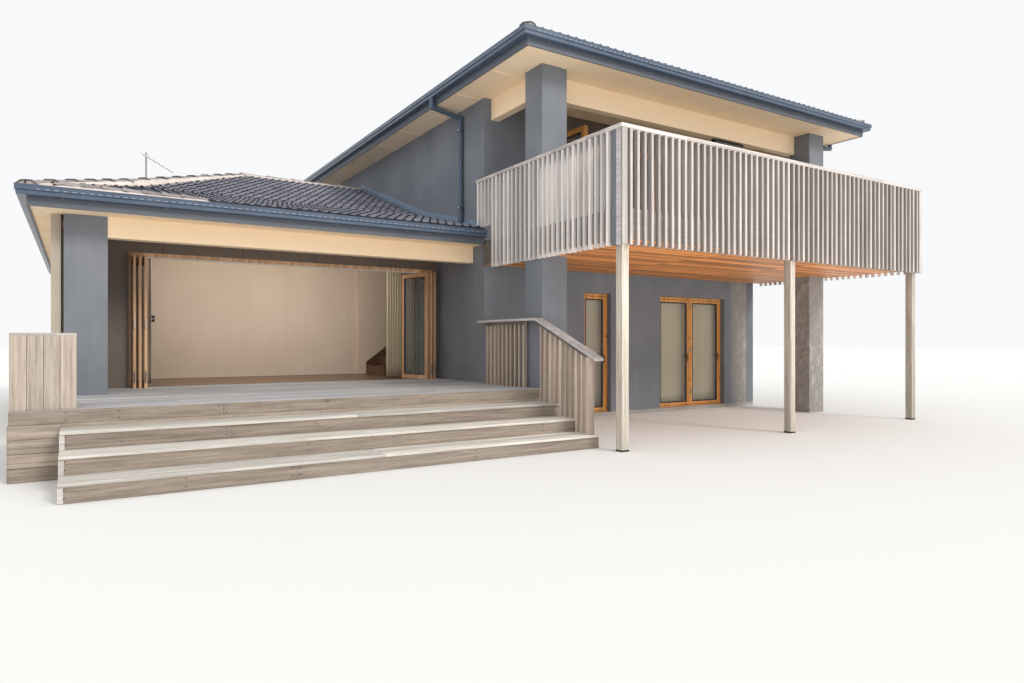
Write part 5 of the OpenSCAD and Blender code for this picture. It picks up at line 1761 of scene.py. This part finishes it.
@dataclass
class Fittings:
    """Small pieces on walls, roofs and ceilings, from the curtains to the aerial."""

    def curtains(self) -> None:
        """Hangs the four curtains and makes their tracks."""
        made = Shape()
        for x0, x1, y, z in ((-8.73, -3.63, 2.38, 3.082), (-1.43, -0.56, 0.165, 2.732),
                             (0.53, 2.66, 0.165, 2.732)):
            made.block((x0, y - 0.012, z - 0.004), (x1, y + 0.012, z + 0.008), WHITE_METAL, 0.001)
        made.piece("curtain_tracks", Slot.WINDOW)
        Curtain("curtain_wing_left", (-8.705, 0.735), (-8.38, 3.078), 2.38, 7, CURTAIN_GREY).build()
        Curtain("curtain_wing_right", (-4.285, 0.735), (-3.655, 3.078), 2.38, 12, CURTAIN).build()
        Curtain("curtain_narrow", (-1.405, 0.087), (-0.585, 2.728), 0.165, 10, SHEER).build()
        Curtain("curtain_pair", (0.555, 0.087), (2.635, 2.728), 0.165, 24, SHEER).build()

    def aerial(self) -> None:
        """Makes the aerial on the wing's hip."""
        made = Shape()
        x, y, z = -8.42, 2.9, 4.12
        made.tube([(x, y, z - 0.08), (x, y, z + 0.53)], 0.014, ZINC, 10)
        made.block((x - 0.06, y - 0.05, z - 0.03), (x + 0.06, y + 0.05, z - 0.015), ZINC)
        made.tube([(x - 0.06, y - 0.02, z + 0.5), (x + 0.42, y + 0.1, z + 0.27)], 0.014, WHITE_METAL, 8)
        for share in (0.0, 0.22, 0.4, 0.55, 0.7, 0.85, 1.0):
            cx, cy, cz = x - 0.06 + 0.48 * share, y - 0.02 + 0.12 * share, z + 0.5 - 0.23 * share
            half = 0.17 - 0.08 * share
            lean = 0.24 * half
            made.tube([(cx - lean, cy - half, cz), (cx + lean, cy + half, cz)], 0.004, WHITE_METAL, 6)
        made.piece("roof_aerial", Slot.GUTTER, smooth=40)

    def heater(self) -> None:
        """Makes the strip heater under the front beam."""
        made = Shape()
        made.block((0.70, -1.49, 5.18), (1.50, -1.39, 5.235), DARK_METAL, 0.008)
        made.block((0.73, -1.485, 5.176), (1.47, -1.395, 5.182), REFLECTOR)
        for x in (0.8, 1.38):
            made.block((x, -1.46, 5.235), (x + 0.02, -1.42, 5.251), ZINC)
        made.piece("strip_heater", Slot.DARK)

    def strips(self) -> None:
        """Covers the joints of sheets: eaves linings and dark panels."""
        made = Shape()
        step, half, low, high = 1.2, 0.02, 5.608, 5.6155
        for i in range(7):
            x = -3.1 + i * step
            made.block((x - half, -2.28, low), (x + half, -1.52, high), CREAM, 0.0015)
        for i in range(11):
            y = -1.2 + i * step
            for x0, x1 in ((-4.03, -3.505), (3.505, 4.11)):
                made.block((x0, y - half, low), (x1, y + half, high), CREAM, 0.0015)
        for i in range(9):
            y = 0.75 + i * step
            made.block((-9.905, y - half, 3.083), (-9.71, y + half, 3.0905), CREAM, 0.0015)
        made.piece("lining_strips", Slot.LINING)
        made = Shape()
        front, wing = BOX_FRONT - 0.004, DECK_BACK - 0.004
        for places, y, low, high in (((-8.27, -7.08, -5.88, -4.68), wing, 2.802, 3.088),
                                     ((1.52, 2.4), front, 3.16, 5.6), ((-0.9, 0.3, 1.5), front, 5.255, 5.61)):
            for x in places:
                made.block((x - 0.003, y, low), (x + 0.003, y + 0.005, high), JOINT)
        made.piece("panel_joints", Slot.DARK)

    def flashing(self) -> None:
        """Dresses painted flashing over the wing's tiles along the box wall, to the front and to the back."""
        made = Shape()
        section = ((0.0, 0.152), (-0.004, 0.152), (-0.006, 0.068), (-0.155, 0.056), (-0.155, 0.05),
                   (0.0, 0.058))
        ridge = (RIDGE_Y, 5.12)
        for line in ((ridge, (KINK_Y, 3.895), (-0.1, 3.344)), (ridge, (8.5, 4.223), (11.1, 3.332))):
            made.loft([[(BOX_LEFT + across, y, z + up) for across, up in section] for y, z in line], FLASHING)
        made.piece("roof_flashing", Slot.GUTTER)

    def pipe_clips(self) -> None:
        """Puts screws and joint collars on the downpipes."""
        made = Shape()
        left, right, collar = (-3.55, 0.65), (3.53, -1.54), 0.045
        for z in (5.23, 3.83):
            made.tube([(*left, z), (*left, z + 0.02)], 0.052, WHITE_METAL, 20)
            for y in (left[1] - 0.053, left[1] + 0.053):
                made.tube([(-3.506, y, z + 0.01), (-3.512, y, z + 0.01)], 0.006, ZINC, 8)
        for place, z in ((right, 0.5), (right, 2.3), (right, 4.6), (left, 3.62)):
            made.tube([(*place, z), (*place, z + collar)], 0.0485, STEEL, 20)
        made.piece("downpipe_collars", Slot.GUTTER, smooth=40)

    def inside(self) -> None:
        """Makes the switch plate and the small ceiling lamp that show through the folding doorway."""
        made = Shape()
        x, y, z = -8.2, 4.4, 1.86
        made.block((x - 0.037, y - 0.008, z - 0.06), (x + 0.037, y, z + 0.06), DARK_METAL, 0.002)
        for key in (x - 0.012, x + 0.012):
            made.block((key - 0.007, y - 0.012, z - 0.012), (key + 0.007, y - 0.008, z + 0.012), WHITE_METAL,
                       0.001)
        made.piece("switch_plate", Slot.WINDOW)
        made = Shape()
        x, y, ceiling, rose, foot = -6.8, 3.9, 3.091, 3.06, 3.0
        made.tube([(x, y, ceiling), (x, y, rose)], 0.06, WHITE_METAL, 24)
        made.tube([(x, y, rose), (x, y, foot)], 0.045, DARK_METAL, 24)
        made.piece("ceiling_lamp", Slot.WINDOW, smooth=40)

    def build(self) -> None:
        """Makes every small piece."""
        self.curtains()
        self.aerial()
        self.heater()
        self.strips()
        self.flashing()
        self.pipe_clips()
        self.inside()


@dataclass
class Studio:
    """Camera, pale floor and soft light."""

    eye: Point = (-9.4131, -10.4004, 1.4238)
    yaw: float = 0.5622
    pitch: float = 0.0001
    focal: float = 689.87
    image_wide: int = 1024
    sensor: float = 36.0

    def camera(self) -> None:
        """Sets the camera where the photograph was taken from."""
        lens = bpy.data.cameras.new("camera")
        lens.sensor_width = self.sensor
        lens.lens = self.sensor * self.focal / self.image_wide
        lens.clip_start, lens.clip_end = 0.1, 300
        made = bpy.data.objects.new("camera", lens)
        made.location = self.eye
        made.rotation_euler = (math.pi / 2 + self.pitch, 0, -self.yaw)
        bpy.context.scene.collection.objects.link(made)
        bpy.context.scene.camera = made

    def floor(self) -> None:
        """Lays the pale floor."""
        data = bpy.data.meshes.new("studio_floor")
        mesh = bmesh.new()
        bmesh.ops.create_grid(mesh, x_segments=1, y_segments=1, size=150)
        mesh.to_mesh(data)
        mesh.free()
        data.transform(Matrix.Translation((0, 0, -0.002)))
        data.materials.append(self.backdrop())
        made = bpy.data.objects.new("studio_floor", data)
        bpy.context.scene.collection.objects.link(made)

    def backdrop(self) -> bpy.types.Material:
        """Makes the plain pale material of the floor.

        Returns:
            The material.
        """
        made = bpy.data.materials.new("studio_floor")
        made.use_nodes = True
        shader = made.node_tree.nodes["Principled BSDF"]
        shader.inputs["Base Color"].default_value = (0.76, 0.75, 0.73, 1)
        shader.inputs["Roughness"].default_value = 0.95
        return made

    def lamp(self, name: str, place: Point, way: Point, size: tuple[float, float], power: float) -> None:
        """Hangs a soft lamp in a room, out of the camera's sight.

        Args:
            name: Name of the lamp.
            place: Where it hangs.
            way: Way that it shines.
            size: Its width and its height.
            power: Its power in watts.
        """
        lamp = bpy.data.lights.new(name, "AREA")
        lamp.shape, lamp.size, lamp.size_y, lamp.energy = "RECTANGLE", size[0], size[1], power
        lamp.color = (1.0, 0.97, 0.93)
        made = bpy.data.objects.new(name, lamp)
        made.location = place
        made.rotation_euler = Vector(way).to_track_quat("-Z", "Y").to_euler()
        made.visible_camera = False
        bpy.context.scene.collection.objects.link(made)

    def lights(self) -> None:
        """Hangs a large soft sun, two room lamps and a wide low one, and gives the world an even light."""
        sun = bpy.data.lights.new("key", "SUN")
        sun.energy, sun.angle, sun.color = 1.5, math.radians(16), (1.0, 0.96, 0.9)
        made = bpy.data.objects.new("key", sun)
        made.rotation_euler = Vector((-0.28, 0.8, -0.53)).to_track_quat("-Z", "Y").to_euler()
        bpy.context.scene.collection.objects.link(made)
        self.lamp("wing_room", (-6.45, 2.0, 2.9), (0, 0.75, -0.66), (3.4, 0.3), 34.0)
        self.lamp("ground_room", (1.6, 0.9, 2.6), (0, -0.8, -0.6), (1.8, 0.3), 6.0)
        self.lamp("bounce", (-2.0, -7.4, 0.06), (0, 0, 1), (12.0, 3.0), 500.0)
        world = bpy.data.worlds.new("studio")
        world.use_nodes = True
        bpy.context.scene.world = world
        w = Wiring(world.node_tree)
        ground = world.node_tree.nodes["Background"]
        ground.inputs["Color"].default_value = (0.96, 0.98, 1.0, 1)
        ground.inputs["Strength"].default_value = 1.12
        seen = w.node("ShaderNodeBackground", {"Color": (0.94, 0.95, 0.96, 1), "Strength": 1.0})
        path = w.node("ShaderNodeLightPath").outputs
        share = w.sum("MAXIMUM", w.sum("MAXIMUM", path["Is Camera Ray"], path["Is Glossy Ray"]),
                      path["Is Transmission Ray"])
        both = w.node("ShaderNodeMixShader", {0: share, 1: ground, 2: seen})
        w.feed(world.node_tree.nodes["World Output"].inputs["Surface"], both)

    def build(self) -> None:
        """Sets camera, floor and lights, and the plain view transform."""
        self.camera()
        self.floor()
        self.lights()
        bpy.context.scene.view_settings.view_transform = "Standard"


FRAME_FINISHES: dict[Finish, tuple[str, ...]] = {
    WALL: ("ground_wall_left", "ground_wall_mid", "ground_wall_head", "left_wall", "right_wall", "back_wall",
           "upper_front_wall", "left_pier", "wing_column"),
    WALL_ROUGH_SUNLIT: ("ground_wall_right", "right_pier"),
    CREAM: ("upper_beams", "upper_soffit", "wing_beam", "wing_soffit"),
    CONCRETE: ("ground_slab",),
    FLOOR: ("upper_floor", "wing_floor"),
    UNDERLAY: ("upper_roof", "wing_roof"),
    CAPS: ("roof_caps",),
    FASCIA: ("upper_fascia",),
    STEEL: ("upper_gutter", "wing_gutter", "downpipes"),
    BEARER: ("balcony_frame", "balcony_deck"),
    BATTEN: ("balcony_front",),
    BATTEN_PAINTED_SUNLIT: ("balcony_left", "balcony_right"),
    SCREEN: ("deck_screen", "stair_screen"),
    POST: ("balcony_posts",),
    DOOR: ("door_frames", "narrow_door", "pair_door_left", "pair_door_right", "upper_doors"),
    FOLDING: ("bifold_frame", "bifold_leaves"),
    WINDOW: ("windows",),
    SKIRT: ("deck_floor", "deck_base", "steps", "step_frame"),
    BOX_WOOD: ("planter_box",),
    PALE_WALL: ("wing_walls",),
    PANEL: ("upper_panel_wall", "bifold_wall"),
    PLASTER: ("inner_wall",),
    STAIR: ("inner_stair",),
    CURTAIN: ("curtains",),
}


def dress_frame() -> None:
    """Gives every frame node its procedural finish."""
    for finish, names in FRAME_FINISHES.items():
        for name in names:
            data = frame["nodes"][name].data
            data.materials.clear()
            data.materials.append(finish.surface())


def hip_roof(rect: tuple[float, float, float, float], eave: float,
             rise: float) -> tuple[tuple[Slope, ...], tuple[Line, ...]]:
    """Works out the slopes and cap runs of a hipped roof with equal slopes.

    Args:
        rect: Lowest and highest x and y of its eaves, as x0, y0, x1, y1.
        eave: Level of the eaves.
        rise: Rise for each metre in.

    Returns:
        The four slopes, and the runs along the hips and the ridge.
    """
    x0, y0, x1, y1 = rect
    half = (x1 - x0) / 2
    a, b, top = (x0 + half, y0 + half), (x0 + half, y1 - half), eave + half * rise
    slopes = (Slope(((x0, y0), (x1, y0), a), eave, rise), Slope(((x1, y0), (x1, y1), b, a), eave, rise),
              Slope(((x1, y1), (x0, y1), b), eave, rise), Slope(((x0, y1), (x0, y0), a, b), eave, rise))
    corners = ((x0, y0, a), (x1, y0, a), (x1, y1, b), (x0, y1, b))
    runs = tuple(((x, y, eave), (*peak, top)) for x, y, peak in corners)
    return slopes, runs + (((*a, top), (*b, top)),)


def wing_roof() -> TiledRoof:
    """Sets out the wing's roof: a steeper left slope, two front slopes that meet at a kink, and a back slope.

    Returns:
        The roof.
    """
    x0, y0, x1, y1 = WING_EAVES
    eave, kink, peak, kink_z, top, end = 3.32, (-8.7834, KINK_Y), (-6.33, RIDGE_Y), 3.895, 5.12, -3.553
    slopes = (
        Slope(((x0, y1), (x0, y0), kink, peak), eave, 0.4993,
              clips=(((x0, KINK_Y), (x0, y0), kink), ((x0, y1), (x0, KINK_Y), kink, peak))),
        Slope(((x0, y0), (end, y0), (end, KINK_Y), kink), eave, 0.23092,
              clips=(((-7.6, y0), (end, y0), (end, KINK_Y), kink, (x0, y0 + 0.12)),)),
        Slope((kink, (x1, KINK_Y), (x1, RIDGE_Y), peak), kink_z, 0.34028),
        Slope(((x1, y1), (x0, y1), peak, (x1, RIDGE_Y)), eave, 0.34286))
    crest, bend = top - 0.03, (*kink, kink_z + 0.04)
    runs = (((x0, y0, eave - 0.04), bend), (bend, (*peak, crest)), ((x0, y1, eave - 0.02), (*peak, crest)),
            ((*peak, crest), (x1, RIDGE_Y, crest)))
    return TiledRoof("wing", slopes, runs, low_runs=(((-9.6, -0.11, 3.318), (-7.93, -0.11, 3.306)),),
                     cap_long=0.66, cap_gauge=0.6, bed=0.045, seed=41)


def main() -> None:
    """Builds the house's pieces in order."""
    logging.basicConfig(level=logging.INFO, format="%(message)s")
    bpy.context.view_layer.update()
    Studio().build()
    dress_frame()
    slopes, runs = hip_roof(UPPER_EAVES, 5.84, math.tan(math.radians(20)))
    TiledRoof("upper", slopes, runs).build()
    wing_roof().build()
    x0, y0, x1, y1 = UPPER_EAVES
    Gutters("upper", ((x0, y0), (x1, y0), (x1, y1), (x0, y1)), True, 5.835, ("upper_gutter",)).build()
    x0, y0, x1, y1 = WING_EAVES
    Gutters("wing", ((x1, y1), (x0, y1), (x0, y0), (-3.552, y0)), False, 3.315, ("wing_gutter",),
            fascia=(3.075, 3.315)).build()
    Deck().build()
    Balcony().build()
    Screens().build()
    Joinery().build()
    Fittings().build()


if __name__ == "__main__":
    main()
